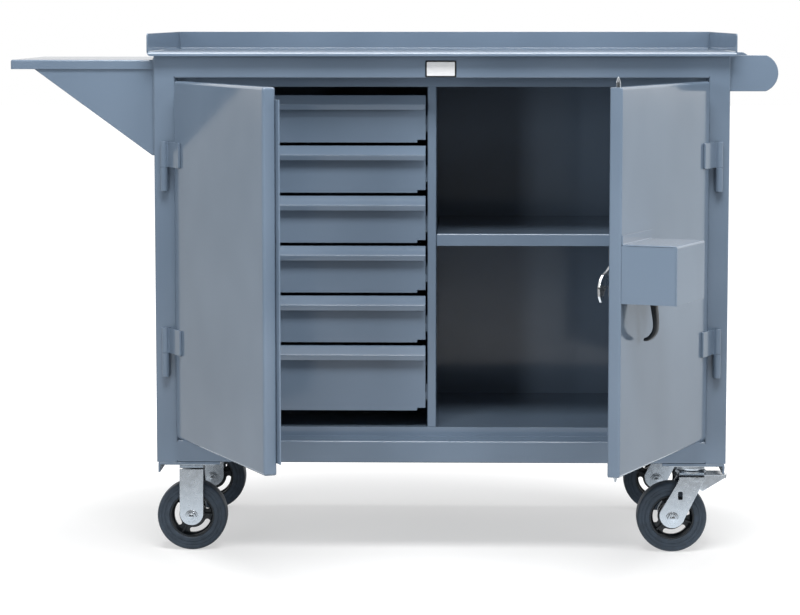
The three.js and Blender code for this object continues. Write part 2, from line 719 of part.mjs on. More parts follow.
// Core: a hub and a rim joined by a web with three kidney windows.
function coreShape(turn) {
  const rim = wheel.tyreInner - seat;
  const bore = axle.radius + axle.clearance;
  const t = core.webHalf;
  const body = lathe([
    [bore, -core.hubHalf], [core.hubRadius, -core.hubHalf], [core.hubRadius + t, -t], [core.rimInner, -t],
    [core.rimInner + t / 2, -core.rimHalf], [rim, -core.rimHalf], [rim, core.rimHalf],
    [core.rimInner + t / 2, core.rimHalf], [core.rimInner, t], [core.hubRadius + t, t],
    [core.hubRadius, core.hubHalf], [bore, core.hubHalf], [bore, -core.hubHalf],
  ], core.sides);
  const endRadius = (core.windowOut - core.windowIn) / 2;
  const pitchRadius = (core.windowOut + core.windowIn) / 2;
  const windows = [-windowStepDegrees, 0, windowStepDegrees].map((step) => {
    const from = turn + step - windowHalfDegrees;
    const to = turn + step + windowHalfDegrees;
    const [[fromX, fromZ], [toX, toZ]] = arc(0, 0, pitchRadius, from, to, 1);
    return alongY([
      ...arc(0, 0, core.windowOut, from, to, 8),
      ...arc(toX, toZ, endRadius, to, to + 180, 6).slice(1, -1),
      ...arc(0, 0, core.windowIn, to, from, 6),
      ...arc(fromX, fromZ, endRadius, from + 180, from + 360, 6).slice(1, -1),
    ], -t - overrun, t + overrun);
  });
  return cut(body, ...windows);
}

function axleShape() {
  const reach = fork.gap + fork.plate + seat;
  const hex = (y0, y1) => barY(axle.hexRadius, 0, 0, y0, y1, 6);
  return join(
    barY(axle.radius, 0, 0, -reach - axle.hexHeight, reach + axle.hexHeight, axle.sides),
    hex(-reach - axle.hexHeight, -reach),
    hex(reach, reach + axle.hexHeight),
  );
}

function addWheel(parent, where, x, y) {
  const group = new THREE.Group();
  group.name = `wheel_axis_${where}`;
  group.position.set(x, y, axleHeight);
  piece(group, `tyre_${where}`, tyreShape(), 'rubber');
  piece(group, `wheel_core_${where}`, coreShape(wheelTurns[where]), 'castIron');
  piece(group, `axle_${where}`, axleShape(), 'zinc');
  parent.add(group);
}

// Holes for the axle through both fork legs.
function axleHole(x, y) {
  const reach = fork.gap + fork.plate + overrun;
  return barY(axle.radius + axle.clearance, x, axleHeight, y - reach, y + reach, axle.sides);
}

function casterPlate(x, y) {
  const dx = caster.plateX / 2;
  const dy = caster.plateY / 2;
  return block(x - dx, x + dx, y - dy, y + dy, casterTop - caster.plate, casterTop);
}

function addRigidCaster(parent, where, x, y) {
  const half = fork.width / 2;
  const crown = casterTop - caster.plate;
  const leg = [[x + half, crown], [x - half, crown], ...arc(x, axleHeight + fork.endRise, half, 180, 360, 12)];
  const outer = fork.gap + fork.plate;
  piece(parent, `fork_${where}`, cut(join(
    casterPlate(x, y),
    block(x - half, x + half, y - outer, y + outer, crown - fork.crown, crown),
    alongY(leg, y - outer, y - fork.gap),
    alongY(leg, y + fork.gap, y + outer),
  ), axleHole(x, y)), 'zinc');
  addWheel(parent, where, x, y);
}

// Swivel caster: the plate and raceway stay with the cart; fork, wheel and brake pedal turn below them.
function addSwivelCaster(parent, where, x, y) {
  const plateFoot = casterTop - caster.plate;
  const crownTop = casterTop - swivel.crownDrop;
  piece(parent, `swivel_plate_${where}`, join(
    casterPlate(x, y),
    barZ(swivel.raceRadius, x, y, crownTop + seat, plateFoot, swivel.sides),
  ), 'zinc');

  const axleX = x - caster.trail;
  const crownFoot = crownTop - fork.crown;
  const top = swivel.topWidth / 2;
  const outer = fork.gap + fork.plate;
  const leg = [
    [x + top, crownTop], [x - top, crownTop], [x - top, crownFoot - fork.shoulderDrop],
    ...arc(axleX, axleHeight + fork.endRise, swivel.legRadius, 165, 345, 12),
    [x + top, crownFoot - fork.shoulderDrop],
  ];
  const windowX = x + forkWindow.along;
  const pinHole = barY(
    pedal.pinRadius + pedal.clearance, x + pedal.pivotAlong, pedal.pivotUp, y - outer - overrun,
    y + outer + overrun, axle.sides,
  );
  piece(parent, `swivel_fork_${where}`, cut(
    join(
      barZ(swivel.crownRadius, x, y, crownFoot, crownTop, swivel.sides),
      block(x - top, x + top, y - outer, y + outer, crownFoot, crownTop),
      alongY(leg, y - outer, y - fork.gap),
      alongY(leg, y + fork.gap, y + outer),
    ),
    axleHole(axleX, y),
    pinHole,
    block(windowX - forkWindow.width / 2, windowX + forkWindow.width / 2, y - outer - overrun,
      y + outer + overrun, forkWindow.up - forkWindow.height / 2, forkWindow.up + forkWindow.height / 2),
  ), 'zinc');
  addWheel(parent, where, axleX, y);

  // Brake pedal: a bent channel on a pin through both legs, its tread outside and its toe over the tyre.
  const group = new THREE.Group();
  group.name = `pedal_axis_${where}`;
  group.position.set(x + pedal.pivotAlong, y, pedal.pivotUp);
  const w = pedal.halfWidth;
  const outline = pedalShares.map(([along, up]) => [along * pedal.tread, up * pedal.side]);
  const hollow = outline.map(([along, up]) => [along, up - pedal.sheet]);
  piece(group, `brake_pedal_${where}`, join(
    cut(alongY(outline, -w, w), alongY(hollow, -w + pedal.sheet, w - pedal.sheet)),
    barY(pedal.pinRadius, 0, 0, -outer, outer, axle.sides),
  ), 'zinc');
  parent.add(group);
}

const cart = new THREE.Group();
cart.name = 'maintenance_cart';
addShell(cart);
addWorktop(cart);
addViseShelf(cart);
addPushHandle(cart);
addInside(cart);
for (let i = 0; i < drawer.count; i += 1) {
  addDrawer(cart, i);
}
for (const [label, side] of [['left', -1], ['right', 1]]) {
  addPostHalf(cart, `${label}_hinge_post_upper`, side, highHinge);
  addPostHalf(cart, `${label}_hinge_post_lower`, side, lowHinge);
  addCasterRail(cart, `caster_rail_${label}`, side);
}
addLeftDoor(cart);
addRightDoor(cart);
addRigidCaster(cart, 'front_left', -halfWidth + caster.rigidInset, casterFront);
addRigidCaster(cart, 'rear_left', -halfWidth + caster.rigidInset, casterRear);
addSwivelCaster(cart, 'front_right', halfWidth - caster.swivelInset, casterFront);
addSwivelCaster(cart, 'rear_right', halfWidth - caster.swivelInset, casterRear);

// The origin is the middle of the foot of the whole cart's box, as it stands with its doors part open.
cart.updateMatrixWorld(true);
const extent = new THREE.Box3().setFromObject(cart, true);
cart.position.set(-(extent.min.x + extent.max.x) / 2, -(extent.min.y + extent.max.y) / 2, -extent.min.z);

export default cart;
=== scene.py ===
import json
import math

import bmesh
import bpy
import numpy as np
from mathutils import Matrix, Vector
from mathutils.geometry import tessellate_polygon

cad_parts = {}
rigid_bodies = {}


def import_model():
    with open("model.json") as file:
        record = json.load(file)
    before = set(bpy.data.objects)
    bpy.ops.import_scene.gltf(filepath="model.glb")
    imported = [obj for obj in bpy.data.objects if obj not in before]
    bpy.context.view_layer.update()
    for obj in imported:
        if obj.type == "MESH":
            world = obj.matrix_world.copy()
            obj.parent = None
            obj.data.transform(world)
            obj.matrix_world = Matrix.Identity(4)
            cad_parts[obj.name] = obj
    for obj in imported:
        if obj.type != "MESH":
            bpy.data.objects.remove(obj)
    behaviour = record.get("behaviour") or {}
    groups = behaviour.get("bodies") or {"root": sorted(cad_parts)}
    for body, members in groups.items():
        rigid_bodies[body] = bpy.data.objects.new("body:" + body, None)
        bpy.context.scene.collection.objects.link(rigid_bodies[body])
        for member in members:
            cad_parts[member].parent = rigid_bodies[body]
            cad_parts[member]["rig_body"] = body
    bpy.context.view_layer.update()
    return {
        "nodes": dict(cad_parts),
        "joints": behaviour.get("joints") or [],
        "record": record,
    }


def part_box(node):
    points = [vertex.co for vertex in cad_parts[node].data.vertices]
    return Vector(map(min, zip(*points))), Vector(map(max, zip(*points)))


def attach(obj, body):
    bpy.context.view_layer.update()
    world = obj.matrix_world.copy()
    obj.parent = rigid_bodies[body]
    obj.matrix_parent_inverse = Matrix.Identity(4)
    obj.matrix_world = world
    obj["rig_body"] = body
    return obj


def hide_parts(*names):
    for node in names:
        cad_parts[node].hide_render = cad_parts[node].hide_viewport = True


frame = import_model()
print("frame loaded:", len(frame["nodes"]), "nodes")

mm = 0.001

# The cart's own axes, in millimetres: X from the cabinet's middle, Y from its front face, Z from the floor.
leftLow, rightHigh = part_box("left_side_panel")[0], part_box("right_side_panel")[1]
cartOrigin = np.array([(leftLow[0] + rightHigh[0]) / 2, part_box("header_channel")[0][1], 0.0])


# Low and high corners of a CAD node, on the cart's own axes.
def nodeBox(name):
    low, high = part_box(name)
    return (np.array(low) - cartOrigin) / mm, (np.array(high) - cartOrigin) / mm


def onCart(points):
    return np.asarray(points, float) * mm + cartOrigin


def jointOf(name):
    return next(j for j in frame["joints"] if j["name"] == name)


# A joint's place, on the cart's own axes.
def jointPlace(name):
    return (np.array(jointOf(name)["pos_m"]) - cartOrigin) / mm


# Maps points given from a joint's place, along the frame's axes.
def aboutJoint(name):
    centre = np.array(jointOf(name)["pos_m"])
    return lambda points: np.asarray(points, float) * mm + centre


# Maps (along the door from its hinge axis, depth behind its outer face, height) to the door as it stands.
def onDoor(jointName, side):
    joint = jointOf(jointName)
    pivot = np.array(joint["pos_m"]) * (1, 1, 0)
    angle = side * math.radians(-joint["range_deg"][0])
    along = np.array([-side * math.cos(angle), -side * math.sin(angle), 0.0])
    inward = np.array([-math.sin(angle), math.cos(angle), 0.0])
    setBack = (cartOrigin[1] - pivot[1]) / mm

    def place(points):
        p = np.asarray(points, float)
        return pivot + mm * (p[..., 0:1] * along + (p[..., 1:2] + setBack) * inward + p[..., 2:3] * (0, 0, 1))

    return place


onLeftDoor = onDoor("left_door_swing", -1)
onRightDoor = onDoor("right_door_swing", 1)
doorAxisDepth = jointPlace("right_door_swing")[1]

# Colours and materials.


# Turns an sRGB colour, written as "#rrggbb", into linear values.
def srgb(hexText):
    parts = [int(hexText[i:i + 2], 16) / 255 for i in (1, 3, 5)]
    linear = [c / 12.92 if c <= 0.04045 else ((c + 0.055) / 1.055) ** 2.4 for c in parts]
    return (*linear, 1.0)


# Adds a node: settings are its attributes or input values, links join its inputs to other outputs.
def addNode(tree, kind, settings=None, **links):
    node = tree.nodes.new(kind)
    for key, value in (settings or {}).items():
        if key in node.inputs:
            node.inputs[key].default_value = value
        else:
            setattr(node, key, value)
    for key, source in links.items():
        slot = int(key[1:]) if key[1:].isdigit() else key.replace("_", " ")
        tree.links.new(source, node.inputs[slot])
    return node


# A material with its shader, and the Object coordinates that its patterns lie on.
def newMaterial(name, principled):
    material = bpy.data.materials.new(name)
    material.use_nodes = True
    tree = material.node_tree
    tree.nodes.clear()
    shader = addNode(tree, "ShaderNodeBsdfPrincipled", principled)
    addNode(tree, "ShaderNodeOutputMaterial", None, Surface=shader.outputs[0])
    coords = addNode(tree, "ShaderNodeTexCoord").outputs["Object"]
    return material, tree, shader, coords


# Noise with features of about sizeMm on Object coordinates, which are in metres.
def noiseAt(tree, coords, sizeMm, detail=2.0):
    settings = {"Scale": 1 / (sizeMm * mm), "Detail": detail}
    return addNode(tree, "ShaderNodeTexNoise", settings, Vector=coords).outputs[0]


# Carries a 0-1 pattern through colour stops to the base colour.
def colourBy(tree, shader, source, stops):
    node = addNode(tree, "ShaderNodeValToRGB", None, Fac=source)
    elements = node.color_ramp.elements
    while len(elements) < len(stops):
        elements.new(0.5)
    for element, (place, colour) in zip(elements, stops):
        element.position = place
        element.color = srgb(colour)
    tree.links.new(node.outputs["Color"], shader.inputs["Base Color"])


# Noise lies mostly between 0.3 and 0.7, and that stretch is spread from the smooth value to the rough one.
def roughBy(tree, shader, source, s):
    settings = {"From Min": 0.3, "From Max": 0.7, "To Min": s["smooth"], "To Max": s["rough"]}
    spread = addNode(tree, "ShaderNodeMapRange", settings, Value=source)
    tree.links.new(spread.outputs[0], shader.inputs["Roughness"])


def bumpBy(tree, shader, source, s):
    settings = {"Strength": s["bump"], "Distance": s["bumpHeightMm"] * mm}
    bump = addNode(tree, "ShaderNodeBump", settings, Height=source)
    tree.links.new(bump.outputs[0], shader.inputs["Normal"])


enamelSettings = {"shade": "#657587", "base": "#6a7a8c", "light": "#6f7f91", "driftMm": 320, "cloudMm": 60,
                  "smooth": 0.10, "rough": 0.16, "coat": 0.35, "coatRough": 0.06, "peelMm": 3.0, "bump": 0.2,
                  "bumpHeightMm": 0.006}


# Baked enamel sprayed on sheet steel: even grey-blue, a clear mirror at low angles, faint orange peel.
def makeEnamel():
    s = enamelSettings
    material, tree, shader, coords = newMaterial("baked_enamel", {
        "Metallic": 0.0, "IOR": 1.5, "Coat IOR": 1.5, "Coat Weight": s["coat"],
        "Coat Roughness": s["coatRough"]})
    drift = noiseAt(tree, coords, s["driftMm"])
    colourBy(tree, shader, drift, [(0.35, s["shade"]), (0.5, s["base"]), (0.65, s["light"])])
    roughBy(tree, shader, noiseAt(tree, coords, s["cloudMm"], 4.0), s)
    bumpBy(tree, shader, noiseAt(tree, coords, s["peelMm"], 1.0), s)
    return material


zincSettings = {"dark": "#b3b8bd", "mid": "#bcc1c6", "light": "#c6cbd0", "cloudMm": 14, "smooth": 0.2,
                "rough": 0.3, "grainMm": 0.8, "bump": 0.05, "bumpHeightMm": 0.01}


# Bright zinc plate on pressed steel: pale with a blue tint and cloudy. Its rolled grain is drawn coarser than
# it is, so that it shows at all.
def makeZinc():
    s = zincSettings
    material, tree, shader, coords = newMaterial("zinc_plated_steel", {"Metallic": 1.0})
    cloud = noiseAt(tree, coords, s["cloudMm"], 3.0)
    colourBy(tree, shader, cloud, [(0.3, s["dark"]), (0.5, s["mid"]), (0.72, s["light"])])
    roughBy(tree, shader, cloud, s)
    bumpBy(tree, shader, noiseAt(tree, coords, s["grainMm"]), s)
    return material


castSettings = {"dark": "#121518", "light": "#20252a", "blotchMm": 12, "smooth": 0.3, "rough": 0.5,
                "sandMm": 1.2, "bump": 0.5, "bumpHeightMm": 0.12}


# Grey iron cast in sand and dipped in black paint: dark, uneven and softly shining.
def makeCastIron():
    s = castSettings
    material, tree, shader, coords = newMaterial("black_cast_iron", {"Metallic": 0.0, "IOR": 1.5})
    blotch = noiseAt(tree, coords, s["blotchMm"], 3.0)
    colourBy(tree, shader, blotch, [(0.35, s["dark"]), (0.7, s["light"])])
    roughBy(tree, shader, blotch, s)
    bumpBy(tree, shader, noiseAt(tree, coords, s["sandMm"], 4.0), s)
    return material


rubberSettings = {"dark": "#28313b", "light": "#36404b", "scuffMm": 14, "smooth": 0.45, "rough": 0.65,
                  "grainMm": 0.7, "bump": 0.3, "bumpHeightMm": 0.05}


# Grey-black rubber moulded on the rim: matte, with a faint bloom and scuffs where it rolls.
def makeRubber():
    s = rubberSettings
    material, tree, shader, coords = newMaterial("moulded_rubber", {"Metallic": 0.0, "IOR": 1.5})
    scuff = noiseAt(tree, coords, s["scuffMm"], 5.0)
    colourBy(tree, shader, scuff, [(0.35, s["dark"]), (0.68, s["light"])])
    roughBy(tree, shader, scuff, s)
    bumpBy(tree, shader, noiseAt(tree, coords, s["grainMm"]), s)
    return material


steelSettings = {"dark": "#c3c6c8", "light": "#e0e2e3", "grindMm": 0.35, "stretch": 0.06, "smooth": 0.18,
                 "rough": 0.3, "bump": 0.2, "bumpHeightMm": 0.02}


# Ground steel plate: bright, with short grinding marks that run up and down, drawn coarser than they are.
def makeSteel():
    s = steelSettings
    material, tree, shader, coords = newMaterial("ground_steel_plate", {"Metallic": 1.0})
    drawn = addNode(tree, "ShaderNodeMapping", {"Scale": (1.0, 1.0, s["stretch"])}, Vector=coords)
    marks = noiseAt(tree, drawn.outputs[0], s["grindMm"], 3.0)
    colourBy(tree, shader, marks, [(0.3, s["dark"]), (0.7, s["light"])])
    roughBy(tree, shader, marks, s)
    bumpBy(tree, shader, marks, s)
    return material


foilSettings = {"dark": "#e4e6e8", "light": "#f2f3f4", "brushMm": 0.5, "stretch": 0.04, "smooth": 0.35,
                "rough": 0.5}


# Etched and clear-lacquered aluminium foil of the nameplate: near white, finely brushed along its length.
def makeFoil():
    s = foilSettings
    material, tree, shader, coords = newMaterial("etched_aluminium", {"Metallic": 0.15, "IOR": 1.5})
    drawn = addNode(tree, "ShaderNodeMapping", {"Scale": (s["stretch"], 1.0, 1.0)}, Vector=coords)
    brush = noiseAt(tree, drawn.outputs[0], s["brushMm"], 3.0)
    colourBy(tree, shader, brush, [(0.35, s["dark"]), (0.65, s["light"])])
    roughBy(tree, shader, brush, s)
    return material


materials = {"enamel": makeEnamel(), "zinc": makeZinc(), "cast_iron": makeCastIron(), "rubber": makeRubber(),
             "bright_steel": makeSteel(), "foil": makeFoil()}
print("materials made:", len(materials))

# Surfaces are parts: an array of points and a list of face arrays. Lengths are in millimetres.

# Views that outlines are drawn in: the axes of their two coordinates, then the axis of the level.
frontView, sideView, planView = (0, 2, 1), (1, 2, 0), (0, 1, 2)
# The same for shapes turned about Y or Z.
aboutAxis = {"Y": (2, 0, 1), "Z": (0, 1, 2)}


# Corners of a rectangle, from its low corner round to the one above it.
def rectangle(u0, v0, u1, v1):
    return [(u0, v0), (u1, v0), (u1, v1), (u0, v1)]


# Points at the given angles on a circle.
def onCircle(angles, radius=1.0, centre=(0.0, 0.0)):
    return np.stack([np.cos(angles), np.sin(angles)], -1) * radius + centre


# Angles all the way round, the last one short of the first.
def fullTurn(count):
    return np.linspace(0, 2 * math.pi, count, endpoint=False)


# A line of (along, across) that runs on to its own mirror image across the axis.
def mirrored(line):
    line = np.array(line)
    return np.concatenate([line, (line * (1, -1))[::-1]])


# A line of (radius, distance) with both ends carried in to the axis.
def capped(line):
    return [(0, line[0][1]), *line, (0, line[-1][1])]


# One quad for every four neighbours of a grid of points; a wrapped direction closes on itself.
def gridFaces(rows, columns, wrapRows=False, wrapColumns=False):
    i = np.arange(rows if wrapRows else rows - 1)[:, None]
    j = np.arange(columns if wrapColumns else columns - 1)[None, :]
    below, right = (i + 1) % rows, (j + 1) % columns
    corners = [i * columns + j, below * columns + j, below * columns + right, i * columns + right]
    return np.stack(np.broadcast_arrays(*corners), -1).reshape(-1, 4)


# A grid of points, in rows and columns, as a part.
def gridPart(points, wrapRows=False, wrapColumns=False):
    rows, columns = points.shape[:2]
    return points.reshape(-1, 3), [gridFaces(rows, columns, wrapRows, wrapColumns)]


# Several parts as one: their points in a row, and their faces numbered on to match.
def joined(parts):
    starts = np.cumsum([0] + [len(points) for points, faces in parts])
    faces = [block + start for (points, blocks), start in zip(parts, starts) for block in blocks]
    return np.concatenate([points for points, blocks in parts]), faces


# Rounds each corner by an arc that starts and ends at the radius over the tangent of half the corner's angle.
def roundCorners(corners, radii, steps=6, closed=True):
    corners = np.asarray(corners, float)
    runs = []
    for k, radius in enumerate(np.broadcast_to(radii, len(corners))):
        corner = corners[k]
        if radius <= 0 or (not closed and k in (0, len(corners) - 1)):
            runs.append(corner[None])
            continue
        back, on = corners[k - 1] - corner, corners[(k + 1) % len(corners)] - corner
        back, on = back / np.linalg.norm(back), on / np.linalg.norm(on)
        half = math.acos(np.clip(back @ on, -1, 1)) / 2
        centre = corner + (back + on) / np.linalg.norm(back + on) * radius / math.sin(half)
        first, last = (corner + arm * radius / math.tan(half) - centre for arm in (back, on))
        span = math.pi - 2 * half
        t = np.linspace(0, 1, steps + 1)[:, None]
        runs.append(centre + (np.sin((1 - t) * span) * first + np.sin(t * span) * last) / math.sin(span))
    return np.concatenate(runs)


# For each point of a line, the step to its left that moves both neighbouring segments by one millimetre.
def leftward(path, closed=False):
    step = np.diff(np.concatenate([path, path[:1]]) if closed else path, axis=0)
    step = step / np.linalg.norm(step, axis=1, keepdims=True)
    normal = np.stack([-step[:, 1], step[:, 0]], 1)
    before = np.roll(normal, 1, axis=0) if closed else np.concatenate([normal[:1], normal])
    after = normal if closed else np.concatenate([normal, normal[-1:]])
    mean = before + after
    return mean / ((mean ** 2).sum(1, keepdims=True) / 2)


# Puts plane coordinates on two of the three axes and a level on the third.
def laid(plane, level, axes):
    points = np.zeros(plane.shape[:-1] + (3,))
    points[..., axes[0]] = plane[..., 0]
    points[..., axes[1]] = plane[..., 1]
    points[..., axes[2]] = level
    return points


# A plate: its outline, and that of its holes, carried from one level to the other with quarter-round edges.
# Along the quarter turn the outline draws in by edge x (1 - sine) and the level by edge x (1 - cosine).
# Points of the outline above squareAbove keep a square edge.
def platePart(outline, low, high, axes, edge, holes=(), squareAbove=None):
    turn = np.linspace(0, math.pi / 2, 4)
    inset = np.concatenate([1 - np.sin(turn), 1 - np.sin(turn[::-1])])[:, None]
    rise = (1 - np.cos(turn))[:, None]
    parts, rims, starts = [], [], [0]
    for k, loop in enumerate([outline, *holes]):
        loop = np.asarray(loop, float)
        after = np.roll(loop, -1, axis=0)
        area = (loop[:, 0] * after[:, 1] - after[:, 0] * loop[:, 1]).sum() / 2
        inward = np.sign(area) * (1 if k == 0 else -1)
        rounding = np.full(len(loop), float(edge))
        if squareAbove is not None:
            rounding[loop[:, 1] > squareAbove] = 0
        plane = loop + inward * leftward(loop, closed=True) * (inset * rounding)[..., None]
        level = np.concatenate([low + rise * rounding, high - rise[::-1] * rounding])
        parts.append(gridPart(laid(plane, level, axes), wrapColumns=True))
        rims.append([Vector((x, y, 0)) for x, y in plane[0]])
        starts.append(starts[-1] + len(inset) * len(loop))
    triangles = np.array(tessellate_polygon(rims))
    first = np.concatenate([start + np.arange(len(rim)) for start, rim in zip(starts, rims)])
    last = np.concatenate([end - len(rim) + np.arange(len(rim)) for end, rim in zip(starts[1:], rims)])
    points, faces = joined(parts)
    return points, faces + [first[triangles], last[triangles][:, ::-1]]


# A bent sheet: an outer and an inner grid of points, joined round their borders.
def sheetPart(outer, inner):
    rows, columns = outer.shape[:2]
    skin = gridFaces(rows, columns)
    number = np.arange(rows * columns).reshape(rows, columns)
    ring = np.concatenate([number[0], number[1:, -1], number[-1, -2::-1], number[-2:0:-1, 0]])
    after = np.roll(ring, -1)
    border = np.stack([ring, after, after + rows * columns, ring + rows * columns], -1)
    points = np.concatenate([outer.reshape(-1, 3), inner.reshape(-1, 3)])
    return points, [skin, skin[:, ::-1] + rows * columns, border]


# A line bent in a plane, repeated at each station.
def carried(path, stations, axes):
    return laid(np.broadcast_to(path, (len(stations), *path.shape)), np.reshape(stations, (-1, 1)), axes)


# A line bent in a plane and carried straight across; the sheet's thickness lies to its left.
def bentSheet(path, thickness, stations, axes):
    within = path + leftward(path) * thickness
    return sheetPart(carried(path, stations, axes), carried(within, stations, axes))


# A strap: a rectangle of thickness by width with rounded edges, carried along a line bent in a plane.
def strapPart(path, halfWidth, thickness, edge, axes, centre):
    quarter = np.linspace(0, math.pi / 2, 4)[None, :] + np.arange(4)[:, None] * math.pi / 2
    sign = np.array([[1, 1], [-1, 1], [-1, -1], [1, -1]])
    depth = (sign[:, 0:1] * (thickness / 2 - edge) + edge * np.cos(quarter)).ravel() + thickness / 2
    across = (sign[:, 1:2] * (halfWidth - edge) + edge * np.sin(quarter)).ravel() + centre
    plane = path[:, None] + leftward(path)[:, None] * depth[None, :, None]
    points, faces = gridPart(laid(plane, across[None, :], axes), wrapColumns=True)
    end = np.arange(len(depth))[None, :]
    return points, faces + [end, end[:, ::-1] + len(depth) * (len(path) - 1)]


# A turned shape: a line of (radius, distance along the axis) swung round that axis; radius 0 is its pole.
def turnedPart(profile, axis, centre=(0, 0, 0), sides=64, closed=False):
    profile = np.asarray(profile, float)
    plane = profile[:, None, 0:1] * onCircle(fullTurn(sides))[None]
    return gridPart(laid(plane, profile[:, 1:2], aboutAxis[axis]) + centre, wrapRows=closed, wrapColumns=True)


# Shares of a nut's height that each cone takes up, and of its width across the flats at the cone's ends.
nutSettings = {"cone": 0.18, "face": 0.97, "foot": 1.16}


# A hexagon nut: at each angle the radius is the lesser of the hexagon's and of the cones that cut its faces.
def nutPart(centre, axis, base, height, flats):
    s = nutSettings
    angle = fullTurn(48)
    hexagon = flats / 2 / np.cos((angle + math.pi / 6) % (math.pi / 3) - math.pi / 6)
    share = np.concatenate([[0], np.linspace(0, s["cone"], 4), np.linspace(1 - s["cone"], 1, 4), [1]])
    cone = flats / 2 * (s["face"] + (s["foot"] - s["face"]) * np.minimum(share, 1 - share) / s["cone"])
    radius = np.minimum(hexagon[None], cone[:, None])
    radius[[0, -1]] = 0
    plane = radius[..., None] * onCircle(angle)[None]
    return gridPart(laid(plane, (base + height * share)[:, None], aboutAxis[axis]) + centre, wrapColumns=True)


beadSettings = {"pitch": 3.4, "ringsToPitch": 4, "mostRings": 500, "narrowest": 0.8, "sides": 8}


# A weld bead: a tube between two points whose radius swells once in every pitch and closes at both ends.
def beadPart(start, end, radius, pitch=beadSettings["pitch"]):
    s = beadSettings
    start, end = np.asarray(start, float), np.asarray(end, float)
    length = np.linalg.norm(end - start)
    heading = (end - start) / length
    first = np.cross(heading, (0, 0, 1) if abs(heading[2]) < 0.9 else (1, 0, 0))
    first /= np.linalg.norm(first)
    t = np.linspace(0, 1, min(int(length / pitch * s["ringsToPitch"]) + 9, s["mostRings"]))
    near = np.clip(np.minimum(t, 1 - t) * length / radius, 0, 1)
    wave = s["narrowest"] + (1 - s["narrowest"]) * np.abs(np.cos(math.pi * t * length / pitch))
    swell = radius * wave * np.sqrt(1 - (1 - near) ** 2)
    ring = onCircle(fullTurn(s["sides"])) @ np.stack([first, np.cross(heading, first)])
    centreLine = start + t[:, None] * (end - start)
    return gridPart(centreLine[:, None] + swell[:, None, None] * ring[None], wrapColumns=True)


# Gives a piece its material (its slot's, unless another is named) and its body, and hides the nodes that it
# stands for.
def finishPiece(obj, body, slot, replaced, material=None):
    obj.data.materials.clear()
    obj.data.materials.append(materials[material or slot])
    weighted = obj.modifiers.new("weighted_normals", "WEIGHTED_NORMAL")
    weighted.keep_sharp = True
    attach(obj, body)
    if replaced:
        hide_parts(*replaced)


pieceSettings = {"mergeMm": 0.001, "sharpDegrees": 42, "edgeDegrees": 50, "edgeSegments": 3}


# Joins parts to one mesh, welds its seams, turns its faces outward and shades it smooth up to sharp edges.
def makePiece(name, parts, body, slot, replaced=(), place=onCart, edgeMm=0.0, material=None, subdivide=0):
    s = pieceSettings
    points, faces = joined(parts)
    mesh = bpy.data.meshes.new(name)
    mesh.from_pydata(place(points).tolist(), [], [face for block in faces for face in block.tolist()])
    bm = bmesh.new()
    bm.from_mesh(mesh)
    bmesh.ops.remove_doubles(bm, verts=bm.verts, dist=s["mergeMm"] * mm)
    bmesh.ops.dissolve_degenerate(bm, edges=bm.edges, dist=s["mergeMm"] * mm)
    bmesh.ops.recalc_face_normals(bm, faces=bm.faces)
    bm.to_mesh(mesh)
    bm.free()
    mesh.polygons.foreach_set("use_smooth", np.ones(len(mesh.polygons), bool))
    mesh.set_sharp_from_angle(angle=math.radians(s["sharpDegrees"]))
    obj = bpy.data.objects.new(name, mesh)
    bpy.context.scene.collection.objects.link(obj)
    if subdivide:
        smooth = obj.modifiers.new("smooth", "SUBSURF")
        smooth.levels = smooth.render_levels = subdivide
    if edgeMm:
        bevel = obj.modifiers.new("edges", "BEVEL")
        bevel.limit_method = "ANGLE"
        bevel.angle_limit = math.radians(s["edgeDegrees"])
        bevel.width = edgeMm * mm
        bevel.segments = s["edgeSegments"]
        bevel.use_clamp_overlap = False
    finishPiece(obj, body, slot, replaced, material)


# A piece that stands for one CAD node and is named for it.
def makeFormed(node, parts, body, slot, **options):
    makePiece(node + "_formed", parts, body, slot, [node], **options)


# Sheet-metal pieces: a merged copy of each node, with its folds and edges rounded by a weighted bevel.

slotOf = {row["node"]: row["material_slot"] for row in frame["record"]["subparts"]}
dressSettings = {"mergeMm": 0.02, "flatDegrees": 0.5, "sharpDegrees": 32, "hollowMm": 1.0, "stripMm": 5.4,
                 "segments": 4, "share": 0.4}


# Mean breadth of a face: its area over half of its outline, close to the width of a long strip.
def faceBreadth(face):
    return face.calc_area() / (face.calc_perimeter() / 2) / mm


# Folds between two broad faces get foldMm, hollow ones hollowMm, and the sheet's own edges edgeMm.
# No rounding takes more than a share of the narrower face beside it.
def dress(name, foldMm, edgeMm):
    s = dressSettings
    source = frame["nodes"][name]
    mesh = source.data.copy()
    mesh.name = name + "_formed"
    obj = bpy.data.objects.new(name + "_formed", mesh)
    bpy.context.scene.collection.objects.link(obj)
    bm = bmesh.new()
    bm.from_mesh(mesh)
    bmesh.ops.remove_doubles(bm, verts=bm.verts, dist=s["mergeMm"] * mm)
    bmesh.ops.dissolve_limit(bm, angle_limit=math.radians(s["flatDegrees"]), verts=bm.verts, edges=bm.edges)
    weights = bm.edges.layers.float.new("bevel_weight_edge")
    widest = max(foldMm, edgeMm, s["hollowMm"])
    for edge in bm.edges:
        if len(edge.link_faces) != 2 or edge.calc_face_angle() < math.radians(s["sharpDegrees"]):
            continue
        breadth = min(faceBreadth(f) for f in edge.link_faces)
        radius = edgeMm if breadth < s["stripMm"] else (foldMm if edge.is_convex else s["hollowMm"])
        edge[weights] = min(radius, s["share"] * breadth) / widest
    for face in bm.faces:
        face.smooth = True
    bm.to_mesh(mesh)
    bm.free()
    bevel = obj.modifiers.new("rounded", "BEVEL")
    bevel.limit_method = "WEIGHT"
    bevel.width = widest * mm
    bevel.segments = s["segments"]
    bevel.use_clamp_overlap = False
    finishPiece(obj, source["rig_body"], slotOf[name], [name])


